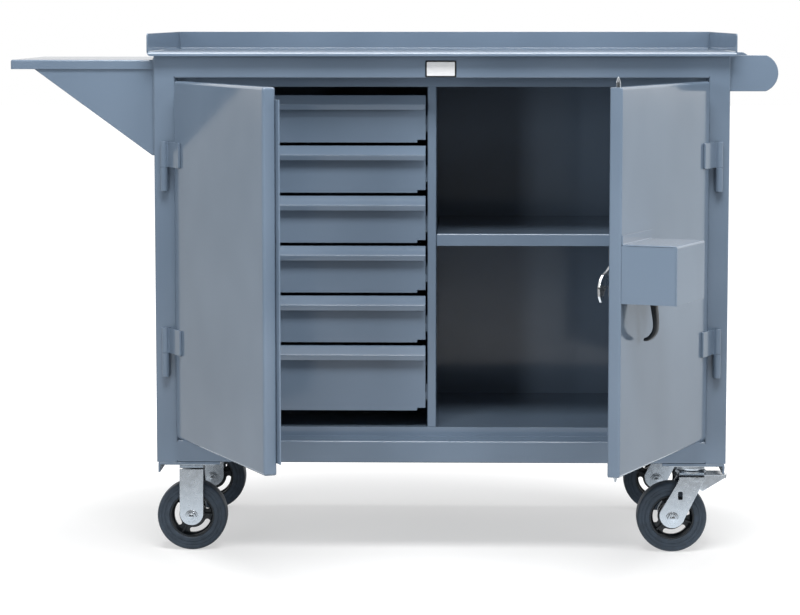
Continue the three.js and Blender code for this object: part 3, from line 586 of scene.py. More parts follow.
# Fold radius and edge radius of each, in millimetres.
dressed = {
    "left_side_panel": (3.5, 0.5), "right_side_panel": (3.5, 0.5), "back_panel": (0.6, 0.6),
    "floor_pan": (0.6, 0.6), "sill_channel": (3.5, 0.3), "header_channel": (3.5, 0.3),
    "vise_shelf": (4.0, 0.8), "centre_divider": (3.0, 0.5), "slide_panel": (3.0, 0.5),
    "bay_shelf": (3.5, 0.6), "caster_rail_left": (2.0, 0.8), "caster_rail_right": (2.0, 0.8),
    "left_door": (6.0, 0.6), "right_door": (6.0, 0.6), "left_door_astragal": (0.6, 0.6),
}
for drawerNumber in range(1, 7):
    dressed[f"drawer_{drawerNumber}"] = (1.2, 0.4)
for nodeName, (foldMm, edgeMm) in dressed.items():
    dress(nodeName, foldMm, edgeMm)
print("sheet-metal pieces formed:", len(dressed))

# Worktop: a tray with side lips, a back lip, and a front rim that rolls down with rounded lower corners.
worktopSettings = {"sheet": 2.7, "edge": 0.45, "rimDrop": 9.5, "rimBend": 6.8, "rimCorner": 8.0,
                   "rimLap": 0.6, "rimSetIn": 0.35, "lipBend": 4.0, "lipCorner": 6.0, "lipSetBack": 0.15,
                   "backRoom": 12.0, "backLap": 0.4, "backSetIn": 0.05, "beadSetIn": 0.6, "cornerBead": 1.6,
                   "cornerBeadShort": 1.0, "frontBead": 1.3, "frontBeadFrom": 3.0, "frontBeadTo": 16.0,
                   "frontBeadLift": 0.2}


def makeWorktop():
    s = worktopSettings
    low, high = nodeBox("worktop")
    x1, y0, y1, top = high[0], low[1], high[1], high[2]
    surface = low[2] + s["rimDrop"]
    under = surface - s["sheet"]
    floorFront, floorBack = y0 + s["rimBend"], y1 - s["backRoom"]
    turn = np.linspace(0, math.pi / 2, 9)

    # The tray's section is a U; its front and back ends lie further in under the floor than at the lips.
    section = roundCorners([(-x1, top), (-x1, under), (x1, under), (x1, top)], s["lipBend"], 6, closed=False)
    inner = section + leftward(section) * s["sheet"]
    lipShare = np.clip((np.abs(section[:, 0]) - x1 + s["lipBend"]) / s["lipBend"], 0, 1)
    front = floorFront + (y0 + s["lipSetBack"] - floorFront) * lipShare
    back = floorBack + (y1 - floorBack) * lipShare
    corner = s["lipCorner"] * (1 - np.cos(turn)) / (y1 - y0)
    straight = np.linspace(0.02, 1, 12)
    stations = np.concatenate([corner, straight])
    lipTop = np.concatenate([top - s["lipCorner"] * (1 - np.sin(turn)), np.full(len(straight), top)])
    grids = []
    for line in (section, inner):
        grid = carried(line, stations, frontView)
        grid[..., 1] = front + stations[:, None] * (back - front)
        grid[:, [0, -1], 2] = lipTop[:, None]
        grids.append(grid)
    tray = sheetPart(*grids)

    # The rim's line runs forward and then down; near each end no point lies below the corner's circle.
    rimCorners = [(floorFront + s["rimLap"], surface), (y0, surface), (y0, low[2])]
    rimLine = roundCorners(rimCorners, s["rimBend"], 8, closed=False)
    half, c = x1 - s["rimSetIn"], s["rimCorner"]
    across = np.concatenate([-half + c * (1 - np.cos(turn)), half - c * (1 - np.cos(turn[::-1]))])
    inEnd = np.clip(np.abs(across) - (half - c), 0, c)
    foot = low[2] + c - np.sqrt(c ** 2 - inEnd ** 2)
    grids = []
    for line in (rimLine, rimLine + leftward(rimLine) * s["sheet"]):
        grid = carried(line, across, sideView)
        grid[..., 2] = np.maximum(grid[..., 2], foot[:, None])
        grids.append(grid)
    rim = sheetPart(*grids)

    lipCorners = [(floorBack - s["backLap"], under), (y1, under), (y1, top)]
    lipLine = roundCorners(lipCorners, s["lipBend"], 6, closed=False)
    lipEnd = x1 - s["sheet"] - s["backSetIn"]
    backLip = bentSheet(lipLine, s["sheet"], [-lipEnd, lipEnd], sideView)
    beads = []
    for side in (-1, 1):
        x, y = side * (x1 - s["sheet"] - s["beadSetIn"]), y1 - s["sheet"] - s["beadSetIn"]
        beads.append(beadPart((x, y, surface), (x, y, top - s["cornerBeadShort"]), s["cornerBead"]))
        z = surface + s["frontBeadLift"]
        beads.append(beadPart((x, y0 + s["frontBeadFrom"], z), (x, y0 + s["frontBeadTo"], z), s["frontBead"]))
    makeFormed("worktop", [tray, rim, backLip], "cart", "enamel", edgeMm=s["edge"])
    makePiece("worktop_welds", beads, "cart", "enamel")


makeWorktop()
print("worktop made")

# Ground welds: thin strips that fill the seams between the posts and the header and sill.
# A seam covers its channel's face, without the hidden step and clear of the folds.
seamSettings = {"half": 4.6, "proud": 0.1, "plate": 2.2, "edge": 0.08, "fold": 3.6, "headerStep": 20.0,
                "headerTop": 0.5, "sillStep": 19.3}


def makeSeams():
    s = seamSettings
    parts = []
    for name, above, below in (("header_channel", s["headerStep"] + s["fold"], s["headerTop"]),
                               ("sill_channel", s["fold"], s["sillStep"] + s["fold"])):
        low, high = nodeBox(name)
        for x in (low[0], high[0]):
            outline = rectangle(x - s["half"], low[2] + above, x + s["half"], high[2] - below)
            parts.append(platePart(outline, -s["proud"], s["plate"], frontView, s["edge"]))
    makePiece("ground_seams", parts, "cart", "enamel")


makeSeams()

# Vise shelf's gussets and their weld beads, and the welds between the shelf and the cabinet.
gussetSettings = {"edge": 0.9, "corner": 4.0, "foot": 5.0, "footCorner": 2.0, "beadSunk": 0.4,
                  "wallBead": 3.2, "wallPitch": 7.0, "wallBeadFoot": 2.0, "wallBeadTop": 4.0,
                  "topBead": 1.4, "topBeadOut": 0.2, "topBeadFrom": 20.0, "topBeadTo": 10.0}
shelfWeldSettings = {"top": 3.4, "topPitch": 6.0, "topRise": 1.2, "topEnds": 1.0,
                     "end": 2.4, "endOut": 0.4, "endFoot": -18.0, "endTop": 2.0}


def makeGussets():
    s = gussetSettings
    shelfFoot = nodeBox("vise_shelf")[0][2]
    for where in ("front", "rear"):
        low, high = nodeBox(f"vise_gusset_{where}")
        wall, foot, top, tip = high[0], low[2], high[2], low[0]
        corners = [(wall, foot), (wall, top), (tip, top), (tip, shelfFoot), (wall - s["foot"], foot)]
        outline = roundCorners(corners, (0, 0, s["corner"], s["corner"], s["footCorner"]), 5)
        plate = platePart(outline, low[1], high[1], frontView, s["edge"])
        x, beadFoot, beadTop = wall - s["beadSunk"], foot + s["wallBeadFoot"], top - s["wallBeadTop"]
        beads = [beadPart((x, y, beadFoot), (x, y, beadTop), s["wallBead"], s["wallPitch"])
                 for y in (low[1], high[1])]
        y, z = low[1] - s["topBeadOut"], top - s["beadSunk"]
        beads.append(beadPart((wall - s["topBeadFrom"], y, z), (tip + s["topBeadTo"], y, z), s["topBead"]))
        makeFormed(f"vise_gusset_{where}", [plate, *beads], "cart", "enamel")


def makeShelfWelds():
    s = shelfWeldSettings
    low, high = nodeBox("vise_shelf")
    x, y, z = high[0], low[1] - s["endOut"], high[2]
    start, stop, level = low[1] + s["topEnds"], high[1] - s["topEnds"], z + s["topRise"]
    along = beadPart((x, start, level), (x, stop, level), s["top"], s["topPitch"])
    end = beadPart((x, y, z + s["endFoot"]), (x, y, z + s["endTop"]), s["end"])
    makePiece("vise_shelf_welds", [along, end], "cart", "enamel")


makeGussets()
makeShelfWelds()

# Push handle: two plates with bowed ends, and the tube between them with a bead round each end.
handleSettings = {"bulge": 26.0, "edge": 1.2, "wall": 2.5, "ringBead": 1.5, "ringOut": 0.6, "ringSetIn": 0.8,
                  "sideBead": 1.8, "sideBeadSetIn": 0.4, "sideBeadEnds": 2.0}


def makePushHandle():
    s = handleSettings
    for where in ("front", "rear"):
        low, high = nodeBox(f"handle_ear_{where}")
        half, middle = (high[2] - low[2]) / 2, (high[2] + low[2]) / 2
        radius = (half ** 2 + s["bulge"] ** 2) / (2 * s["bulge"])
        sweep = np.linspace(-1, 1, 33) * math.asin(half / radius)
        bow = onCircle(sweep, radius, (high[0] - radius, middle))
        outline = np.concatenate([[(low[0], high[2]), (low[0], low[2])], bow])
        plate = platePart(outline, low[1], high[1], frontView, s["edge"])
        x, foot, top = low[0] + s["sideBeadSetIn"], low[2] + s["sideBeadEnds"], high[2] - s["sideBeadEnds"]
        beads = [beadPart((x, y, foot), (x, y, top), s["sideBead"]) for y in (low[1], high[1])]
        makeFormed(f"handle_ear_{where}", [plate, *beads], "cart", "enamel")
    low, high = nodeBox("push_tube")
    outer = (high[2] - low[2]) / 2
    centre = ((low[0] + high[0]) / 2, 0, (low[2] + high[2]) / 2)
    tube = turnedPart(rectangle(outer - s["wall"], low[1], outer, high[1]), "Y", centre, closed=True)
    parts = [tube]
    for y in (low[1] + s["ringSetIn"], high[1] - s["ringSetIn"]):
        bead = onCircle(fullTurn(8), s["ringBead"], (outer + s["ringOut"], y))
        parts.append(turnedPart(bead, "Y", centre, closed=True))
    makeFormed("push_tube", parts, "cart", "enamel")


makePushHandle()
print("vise shelf and push handle made")

# Lift-off hinges: barrels with turned edges, the pin, the weld pad and the door's leaf.
hingeSettings = {"barrel": 7.9, "turned": 0.9, "pin": 3.6, "pinTurned": 0.8, "bore": 3.95, "boreRise": 38.0,
                 "gap": 0.3, "leafFrom": 0.5, "leafReach": 76.2, "leaf": 5.0, "leafCorner": 3.0,
                 "leafRise": 4.0, "leafEdge": 0.9, "neckFrom": 0.2, "neck": 7.0, "neckLap": 1.0,
                 "neckEdge": 0.3, "padSetIn": 0.35, "padEdge": 0.5, "bead": 1.2, "beadSetIn": 0.2,
                 "beadOut": 0.9, "beadEnds": 2.0}


# The door's half, in distances along the door from the hinge axis: barrel, leaf, and a neck that joins them.
def makeHingeLeaf(side, level, place):
    s = hingeSettings
    r, c, bore, face = s["barrel"], s["turned"], s["bore"], -s["gap"]
    low, high = nodeBox(f"{side}_hinge_leaf_{level}")
    foot, top = low[2], high[2] + s["leafRise"]
    boreTop = foot + s["boreRise"]
    barrel = turnedPart(capped([(bore, boreTop), (bore, foot), (r - c, foot), (r, foot + c), (r, top - c),
                                (r - c, top)]), "Z", (0, doorAxisDepth, 0), 48)
    leafFace = roundCorners(rectangle(s["leafFrom"], foot, s["leafReach"], top),
                            (0, s["leafCorner"], s["leafCorner"], 0))
    leaf = platePart(leafFace, face - s["leaf"], face, frontView, s["leafEdge"])
    neckFace = rectangle(s["neckFrom"], foot, s["neck"], top)
    neck = platePart(neckFace, doorAxisDepth, face - s["neckLap"], frontView, s["neckEdge"])
    makeFormed(f"{side}_hinge_leaf_{level}", [barrel, leaf, neck], f"{side}_door", "enamel", place=place)


# The post's half: a barrel that turns into the pin, a pad behind it, and a bead down each side of the pad.
def makeHingePost(side, level):
    s = hingeSettings
    r, c, pin, face = s["barrel"], s["turned"], s["pin"], -s["gap"]
    low, high = nodeBox(f"{side}_hinge_post_{level}")
    x, foot, pinTop = (low[0] + high[0]) / 2, low[2], high[2]
    mid = nodeBox(f"{side}_hinge_leaf_{level}")[0][2] - s["gap"]
    post = turnedPart(capped([(r - c, foot), (r, foot + c), (r, mid - c), (r - c, mid), (pin, mid),
                              (pin, pinTop - s["pinTurned"]), (pin - s["pinTurned"], pinTop)]),
                      "Z", (x, doorAxisDepth, 0), 48)
    padFace = rectangle(x - r + s["padSetIn"], foot, x + r - s["padSetIn"], mid)
    pad = platePart(padFace, doorAxisDepth, face, frontView, s["padEdge"])
    y, beadFoot, beadTop = -s["beadOut"], foot + s["beadEnds"], mid - s["beadEnds"]
    beads = [beadPart((u, y, beadFoot), (u, y, beadTop), s["bead"])
             for u in (x - r + s["beadSetIn"], x + r - s["beadSetIn"])]
    makeFormed(f"{side}_hinge_post_{level}", [post, pad, *beads], "cart", "enamel")


for side, place in (("left", onLeftDoor), ("right", onRightDoor)):
    for level in ("upper", "lower"):
        makeHingeLeaf(side, level, place)
        makeHingePost(side, level)
print("hinges made")

# Lock shroud: one sheet folded from its flange over the top and down the front, closed by two side plates.
# Along the door it lies between two insets from the door's free edge.
shroudSettings = {"sheet": 2.7, "flange": 18.0, "standOff": 113.0, "topBend": 5.0, "rootBend": 2.0,
                  "gap": 0.3, "doorReach": 585.3, "nearInset": 172.0, "farInset": 0.5, "edge": 0.5,
                  "bead": 1.2, "beadSetIn": 0.2, "beadCorner": 8.0, "beadRoot": 12.0, "beadFoot": 2.0}


def makeShroud():
    s = shroudSettings
    low, high = nodeBox("lock_shroud")
    foot, flangeTop = low[2], high[2]
    top = flangeTop - s["flange"]
    near, far = s["doorReach"] - s["nearInset"], s["doorReach"] - s["farInset"]
    out, back, g = -s["standOff"], -s["gap"], s["sheet"]
    line = roundCorners([(back - g, flangeTop), (back - g, top), (out, top), (out, foot)],
                        (0, s["rootBend"], s["topBend"], 0), 8, closed=False)
    sheet = bentSheet(line, g, [near, far], sideView)
    cheek = rectangle(out + g, foot, back, top - g)
    parts = [sheet, *(platePart(cheek, u, u + g, sideView, s["edge"]) for u in (near, far - g))]
    for u in (near + s["beadSetIn"], far - s["beadSetIn"]):
        y, z = out + g / 2, top - g / 2
        parts.append(beadPart((u, out + s["beadCorner"], z), (u, -s["beadRoot"], z), s["bead"]))
        parts.append(beadPart((u, y, foot + s["beadFoot"]), (u, y, top - s["beadCorner"]), s["bead"]))
    makeFormed("lock_shroud", parts, "right_door", "enamel", place=onRightDoor, edgeMm=s["edge"])


makeShroud()

# Lever: an iron casting; its side outline is two lines, and each cross-section is an oval between them.
# The lines are in shares of standOff and length; the boss is (radius, depth), from the door's face outward.
leverSettings = {
    "along": 480.0, "height": 655.0, "standOff": 34.0, "length": 129.0, "rootHalf": 12.0, "tipHalf": 9.5,
    "squareness": 0.7, "tipReach": 0.25, "gap": 0.3,
    "outside": [(0.0, 0.1), (0.4, 0.12), (0.7, 0.08), (0.9, -0.08), (1.02, -0.26), (1.12, -0.48),
                (1.22, -0.75), (1.2, -0.9), (0.98, -1.0), (0.66, -1.06), (0.36, -1.06)],
    "inside": [(0.0, -0.1), (0.25, -0.12), (0.42, -0.15), (0.52, -0.22), (0.6, -0.34), (0.75, -0.52),
               (0.93, -0.78), (0.9, -0.87), (0.75, -0.94), (0.57, -0.99), (0.4, -1.0)],
    "boss": [(22.0, -0.3), (22.0, -3.3), (20.0, -10.8), (17.0, -16.2), (13.0, -18.0)],
}


def makeLever():
    s = leverSettings
    scale = (-s["standOff"], s["length"])
    outside, inside = np.array(s["outside"]) * scale, np.array(s["inside"]) * scale
    middle, half = (outside + inside) / 2, (outside - inside) / 2
    width = s["rootHalf"] + (s["tipHalf"] - s["rootHalf"]) * np.linspace(0, 1, len(outside))[:, None]
    ring = onCircle(fullTurn(16))
    oval, flat = (np.sign(ring) * np.abs(ring) ** s["squareness"]).T
    grid = np.zeros((len(outside), len(ring), 3))
    grid[..., 0] = s["along"] + width * flat
    grid[..., 1] = -s["gap"] + middle[:, 0:1] + half[:, 0:1] * oval
    grid[..., 2] = s["height"] + middle[:, 1:2] + half[:, 1:2] * oval
    root, tip = (np.repeat(grid[k].mean(0)[None, None], len(ring), axis=1) for k in (0, -1))
    tip = tip + (grid[-1].mean(0) - grid[-2].mean(0)) * s["tipReach"]
    arm = gridPart(np.concatenate([root, grid, tip]), wrapColumns=True)
    boss = turnedPart(capped(s["boss"]), "Y", (s["along"], 0, s["height"]), 40)
    makePiece("latch_handle_arm", [arm], "latch", "cast_iron", ["latch_handle"], place=onRightDoor,
              subdivide=2)
    makePiece("latch_handle_boss", [boss], "latch", "cast_iron", place=onRightDoor)


makeLever()

# Cam: a round plate with a hooked arm on the spindle's inner end, ground bright.
# The hook's corners are in shares of reach and drop, with a rounding for each.
camSettings = {
    "depth": 42.0, "plate": 5.0, "radius": 30.0, "reach": 110.0, "drop": 55.0, "spindle": 8.0, "edge": 0.7,
    "discDegrees": (75, 285),
    "hook": [(0.52, -0.42), (0.7, -0.55), (0.8, -0.87), (0.88, -1.0), (0.98, -0.75), (1.0, -0.45),
             (0.93, -0.2), (0.8, -0.02), (0.57, 0.11)],
    "rounding": (0, 6, 8, 3, 8, 10, 10, 8, 0),
}


def makeCam():
    s = camSettings
    u, z = leverSettings["along"], leverSettings["height"]
    disc = onCircle(np.radians(np.linspace(*s["discDegrees"], 40)), s["radius"])
    hook = roundCorners(np.array(s["hook"]) * (s["reach"], s["drop"]), s["rounding"], 5)
    outline = np.concatenate([disc, hook]) + (u, z)
    plate = platePart(outline, s["depth"], s["depth"] + s["plate"], frontView, s["edge"])
    end = s["depth"] + s["plate"] / 2
    spindle = turnedPart(capped([(s["spindle"], 0.0), (s["spindle"], end)]), "Y", (u, 0, z), 40)
    makeFormed("latch_cam", [plate, spindle], "latch", "bright_steel", place=onRightDoor)


makeCam()

# Latch rods: round bars with turned tips; their inner ends are straps that step in to the cam.
rodSettings = {"along": 570.0, "depth": 14.0, "radius": 4.75, "turned": 0.6, "tip": 10.0,
               "shortOfSolid": 10.0, "strapHeight": 20.0, "plate": 4.0, "edge": 0.6, "jog": 32.0,
               "strapEnd": 12.0, "camGap": 25.0, "gap": 0.3}


def makeRods():
    s = rodSettings
    u, d, r, t = s["along"], s["depth"], s["radius"], s["turned"]
    p, half, edge = s["plate"], s["plate"] / 2, s["edge"]
    face = camSettings["depth"] - s["gap"]
    end, jog = leverSettings["along"] + s["strapEnd"], u - s["jog"]
    for name, up in (("latch_rod_upper", 1), ("latch_rod_lower", -1)):
        low, high = nodeBox(name)
        tip = high[2] if up > 0 else low[2] + s["shortOfSolid"]
        inner = leverSettings["height"] + up * s["camGap"]
        taper = tip - up * s["tip"]
        bar = turnedPart(capped([(r - t, inner), (r, inner + up * t), (r, taper - up), (r - t / 2, taper),
                                 (r / 4 + t, tip - up * t * 2), (r / 4, tip)]), "Z", (u, d, 0), 40)
        z0, z1 = sorted((inner, inner + up * s["strapHeight"]))
        straps = [platePart(rectangle(jog, z0, u, z1), d - half, d + half, frontView, edge),
                  platePart(rectangle(d - half, z0, face, z1), jog, jog + p, sideView, edge),
                  platePart(rectangle(end, z0, jog + p, z1), face - p, face, frontView, edge)]
        makeFormed(name, [bar, *straps], "upper_rod" if up > 0 else "lower_rod", "zinc", place=onRightDoor)


makeRods()
print("lock shroud, lever, cam and rods made")

# Tyre: a seat on the rim, two rings pressed into each wall, round shoulders and a crowned tread. The seat's
# line is in (out from the rim, in from the side), the rings' in (out from the ring, share of its depth).
tyreSettings = {"inner": 48.0, "radius": 75.8, "half": 25.4, "shoulder": 6.0, "crown": 0.7, "ring": 58.0,
                "ringDepth": 1.0, "seatLine": [(0.0, 1.6), (1.2, 0.3), (2.4, 0.0)],
                "ringLine": [(-1.6, 0.0), (-0.9, 1.0), (0.9, 1.0), (1.6, 0.0), (6.0, 0.0), (6.6, 0.7),
                             (8.0, 0.7), (8.6, 0.0)]}


def tyreParts():
    s = tyreSettings
    radius, h, bend = s["radius"], s["half"], s["shoulder"]
    wall = [(s["inner"] + out, h - within) for out, within in s["seatLine"]]
    wall += [(s["ring"] + out, h - s["ringDepth"] * share) for out, share in s["ringLine"]]
    shoulder = onCircle(np.linspace(math.pi / 2, 0, 7), bend, (radius - s["crown"] - bend, h - bend))
    share = np.linspace(1, 0, 6)[1:]
    tread = np.stack([radius - s["crown"] * share ** 2, share * (h - bend)], 1)
    half = np.concatenate([wall, shoulder, tread])
    profile = np.delete(mirrored(half), len(half), axis=0)  # the middle of the tread stays a single point
    return [turnedPart(profile, "Y", sides=120, closed=True)]


# Iron core, about the axle: hub, rim and ribs in (radius, half-width), and a web with three windows.
coreSettings = {
    "hub": [(7.15, 28.4), (11.5, 28.4), (12.0, 27.6), (13.6, 27.6), (14.1, 28.4), (16.0, 28.4), (17.0, 27.4),
            (17.6, 11.0), (19.0, 7.0), (22.0, 4.0)],
    "rim": [(47.7, 22.0), (45.1, 22.0), (44.1, 20.8), (43.5, 8.0), (42.1, 5.2), (40.3, 4.0)],
    "rib": [(15.0, 21.4), (23.0, 13.0), (40.5, 10.5), (44.5, 12.0)], "ribHalf": 2.4, "ribEdge": 1.1,
    "webIn": 15.5, "webOut": 44.3, "webHalf": 4.0, "webEdge": 1.2,
    "windowIn": 29.5, "windowOut": 41.5, "windowHalfDegrees": 32.0,
}


# A window in the web: a stretch of ring with round ends.
def coreWindow(atDegrees):
    s = coreSettings
    first, last = np.radians([atDegrees - s["windowHalfDegrees"], atDegrees + s["windowHalfDegrees"]])
    sweep, cap = np.linspace(first, last, 20), np.linspace(0, math.pi, 10)[1:-1]
    middle, end = (s["windowIn"] + s["windowOut"]) / 2, (s["windowOut"] - s["windowIn"]) / 2
    return np.concatenate([onCircle(sweep, s["windowOut"]), onCircle(last + cap, end, onCircle(last, middle)),
                           onCircle(sweep[::-1], s["windowIn"]),
                           onCircle(first + math.pi + cap, end, onCircle(first, middle))])


def coreParts(turnDegrees):
    s = coreSettings
    parts = [turnedPart(mirrored(s[name]), "Y", sides=96, closed=True) for name in ("hub", "rim")]
    circle = onCircle(fullTurn(96))
    holes = [*(coreWindow(turnDegrees + step) for step in (-120, 0, 120)), circle * s["webIn"]]
    parts.append(platePart(circle * s["webOut"], -s["webHalf"], s["webHalf"], frontView, s["webEdge"], holes))
    rib, faces = platePart(mirrored(s["rib"]), -s["ribHalf"], s["ribHalf"], planView, s["ribEdge"])
    for step in (60, 180, 300):
        cosine, sine = onCircle(math.radians(turnDegrees + step))
        parts.append((rib @ np.array([[cosine, 0, sine], [0, 1, 0], [-sine, 0, cosine]]), faces))
    return parts


# Axle: a round bar, and on each side a washer, a nut and the bar's end beyond it. The washer's and the stub's
# lines are in (radius, out from the fork).
axleSettings = {"radius": 6.0, "seat": 35.3, "pastSeat": 3.0, "nutFoot": 1.44, "nut": 5.4, "flats": 20.0,
                "washer": [(6.0, 0.0), (14.0, 0.0), (14.0, 1.12), (13.4, 1.6), (6.0, 1.6)],
                "stub": [(5.8, 5.0), (5.8, 7.8), (4.6, 8.6), (0.0, 8.6)]}


def axleParts():
    s = axleSettings
    end = s["seat"] + s["pastSeat"]
    parts = [turnedPart(capped([(s["radius"], -end), (s["radius"], end)]), "Y", sides=40)]
    for side in (-1, 1):
        washer, stub = ((np.array(s[name]) + (0, s["seat"])) * (1, side) for name in ("washer", "stub"))
        parts.append(turnedPart(washer, "Y", sides=48, closed=True))
        parts.append(nutPart((0, 0, 0), "Y", side * (s["seat"] + s["nutFoot"]), side * s["nut"], s["flats"]))
        parts.append(turnedPart(stub, "Y", sides=32))
    return parts


# How far each wheel has rolled: where the middle one of its core's windows points, in degrees.
windowDegrees = {"front_left": -60, "rear_left": -42, "front_right": -77, "rear_right": -20}
for corner, turnDegrees in windowDegrees.items():
    place, body = aboutJoint(f"wheel_{corner}_spin"), f"wheel_{corner}"
    makeFormed(f"tyre_{corner}", tyreParts(), body, "rubber", place=place)
    makeFormed(f"wheel_core_{corner}", coreParts(turnDegrees), body, "cast_iron", place=place)
    makeFormed(f"axle_{corner}", axleParts(), body, "zinc", place=place)
print("wheels made")

# Casters: pressed forks with round bends, top plates welded along two sides, and the swivels' raceways.
casterSettings = {"plate": 5.0, "plateX": 114.3, "plateY": 101.6, "plateCorner": 9.0, "edge": 0.8,
                  "bead": 1.4, "beadSetIn": 0.5, "beadEnds": 12.0, "beadDrop": 0.4}
forkSettings = {"sheet": 5.6, "outer": 35.0, "bend": 12.0, "half": 25.5, "endRise": 6.0, "edge": 0.8,
                "square": 0.6}


def topPlate(x, y, top):
    s = casterSettings
    dx, dy = s["plateX"] / 2, s["plateY"] / 2
    outline = roundCorners(rectangle(x - dx, y - dy, x + dx, y + dy), s["plateCorner"])
    reach, ends, z = dx - s["beadSetIn"], dy - s["beadEnds"], top - s["beadDrop"]
    beads = [beadPart((u, y - ends, z), (u, y + ends, z), s["bead"]) for u in (x - reach, x + reach)]
    return [platePart(outline, top - s["plate"], top, planView, s["edge"]), *beads]


# The strap over the wheel: up one side, round its bends and down the other, between the two legs' tops.
def forkBridge(y, legTop, crownTop, half, x):
    s = forkSettings
    line = roundCorners([(y + s["outer"], legTop), (y + s["outer"], crownTop), (y - s["outer"], crownTop),
                         (y - s["outer"], legTop)], s["bend"], 10, closed=False)
    return strapPart(line, half, s["sheet"], s["edge"], sideView, x)


# Both legs: straight sides down from the strap through the given heights, then the foot's own points.
# The short square stretch at the top meets the strap's end.
def legPlates(x, y, half, heights, foot, holes=()):
    s = forkSettings
    levels = [heights[0], heights[0] - s["square"], *heights[1:]]
    outline = np.concatenate([[(x - half, z) for z in levels], foot, [(x + half, z) for z in levels[::-1]]])
    inner = s["outer"] - s["sheet"]
    return [platePart(outline, y + low, y + high, frontView, s["edge"], holes, levels[0] - s["square"] / 2)
            for low, high in ((-s["outer"], -inner), (inner, s["outer"]))]


def makeRigidCaster(where):
    s = forkSettings
    x, y, axleZ = jointPlace(f"wheel_{where}_spin")
    top = nodeBox(f"fork_{where}")[1][2]
    crownTop = top - casterSettings["plate"]
    legTop = crownTop - s["bend"]
    foot = onCircle(np.linspace(math.pi, 2 * math.pi, 33), s["half"], (x, axleZ + s["endRise"]))
    parts = [*topPlate(x, y, top), forkBridge(y, legTop, crownTop, s["half"], x),
             *legPlates(x, y, s["half"], [legTop], foot)]
    makeFormed(f"fork_{where}", parts, "cart", "zinc")


# The raceway is in (out from race, up from the plate's underside) and then (out from race, up from the fork's
# top); the crown under it is in (out from crown, up from the fork's top).
swivelSettings = {
    "crownTop": 177.5, "topHalf": 27.0, "footHalf": 27.5, "footDegrees": (165, 345), "trail": 41.5,
    "slopeTop": 159.9, "windowAlong": -24.5, "windowUp": 125.5, "windowX": 9.6, "windowZ": 17.2,
    "windowCorner": 2.5, "nut": 8.0, "nutFlats": 24.0, "race": 30.0, "crown": 33.0,
    "raceUpper": [(-1.0, 1.0), (-1.0, -0.6), (0.0, -1.4), (0.0, -5.2), (-0.9, -5.8), (-0.9, -7.0),
                  (0.0, -7.6)],
    "raceLower": [(0.0, 2.2), (-1.2, 0.8), (-3.0, 0.3)],
    "crownLine": [(-5.0, 0.05), (-1.5, 0.0), (0.0, -1.2), (0.0, -4.4), (-1.2, -5.6)],
}


def makeSwivelCaster(where):
    s, f = swivelSettings, forkSettings
    low, high = nodeBox(f"swivel_plate_{where}")
    x, y, top = (low[0] + high[0]) / 2, (low[1] + high[1]) / 2, high[2]
    plateFoot, crownTop = top - casterSettings["plate"], s["crownTop"]
    raceLine = [(s["race"] + out, plateFoot + up) for out, up in s["raceUpper"]]
    raceLine += [(s["race"] + out, crownTop + up) for out, up in s["raceLower"]]
    race = turnedPart(capped(raceLine), "Z", (x, y, 0), 72)
    makeFormed(f"swivel_plate_{where}", [*topPlate(x, y, top), race], "cart", "zinc")

    legTop = crownTop - f["bend"]
    footCentre = (x - s["trail"], jointPlace(f"wheel_{where}_spin")[2] + f["endRise"])
    foot = onCircle(np.radians(np.linspace(*s["footDegrees"], 37)), s["footHalf"], footCentre)
    wx, wz, dx, dz = x + s["windowAlong"], s["windowUp"], s["windowX"] / 2, s["windowZ"] / 2
    window = roundCorners(rectangle(wx - dx, wz - dz, wx + dx, wz + dz), s["windowCorner"], 5)
    crownLine = [(s["crown"] + out, crownTop + up) for out, up in s["crownLine"]]
    crown = turnedPart(capped(crownLine), "Z", (x, y, 0), 72)
    kingNut = nutPart((x, y, 0), "Z", crownLine[-1][1], -s["nut"], s["nutFlats"])
    parts = [forkBridge(y, legTop, crownTop, s["topHalf"], x), crown, kingNut,
             *legPlates(x, y, s["topHalf"], [legTop, s["slopeTop"]], foot, [window])]
    makeFormed(f"swivel_fork_{where}", parts, f"swivel_{where.split('_')[0]}", "zinc")


for where in ("front_left", "rear_left"):
    makeRigidCaster(where)
for where in ("front_right", "rear_right"):
    makeSwivelCaster(where)

# Brake pedals: a channel pressed from sheet, its side outline carried across and hollow below, on its pin.
# The outlines are in shares of tread and side from the pivot, with a rounding for each corner.
pedalSettings = {"tread": 64.0, "side": 26.0, "half": 28.4, "sheet": 3.0, "edge": 0.8, "cheekSetIn": 0.1,
                 "pin": 4.0, "pinHead": 5.4, "pinReach": 35.0, "headPlate": 1.2, "headDome": 1.5,
                 "treadLine": [(-0.11, 0.1), (-0.05, 0.42), (0.94, 0.42), (1.0, 0.3), (0.98, 0.12)],
                 "treadRounding": (0, 3, 4, 1.5, 0),
                 "cheek": [(-0.11, 0.19), (-0.03, 0.40), (0.99, 0.40), (0.98, 0.17), (0.2, -1), (0.05, -0.77),
                           (-0.11, -0.19)],
                 "cheekRounding": (2, 3, 4, 4, 3, 4, 3)}


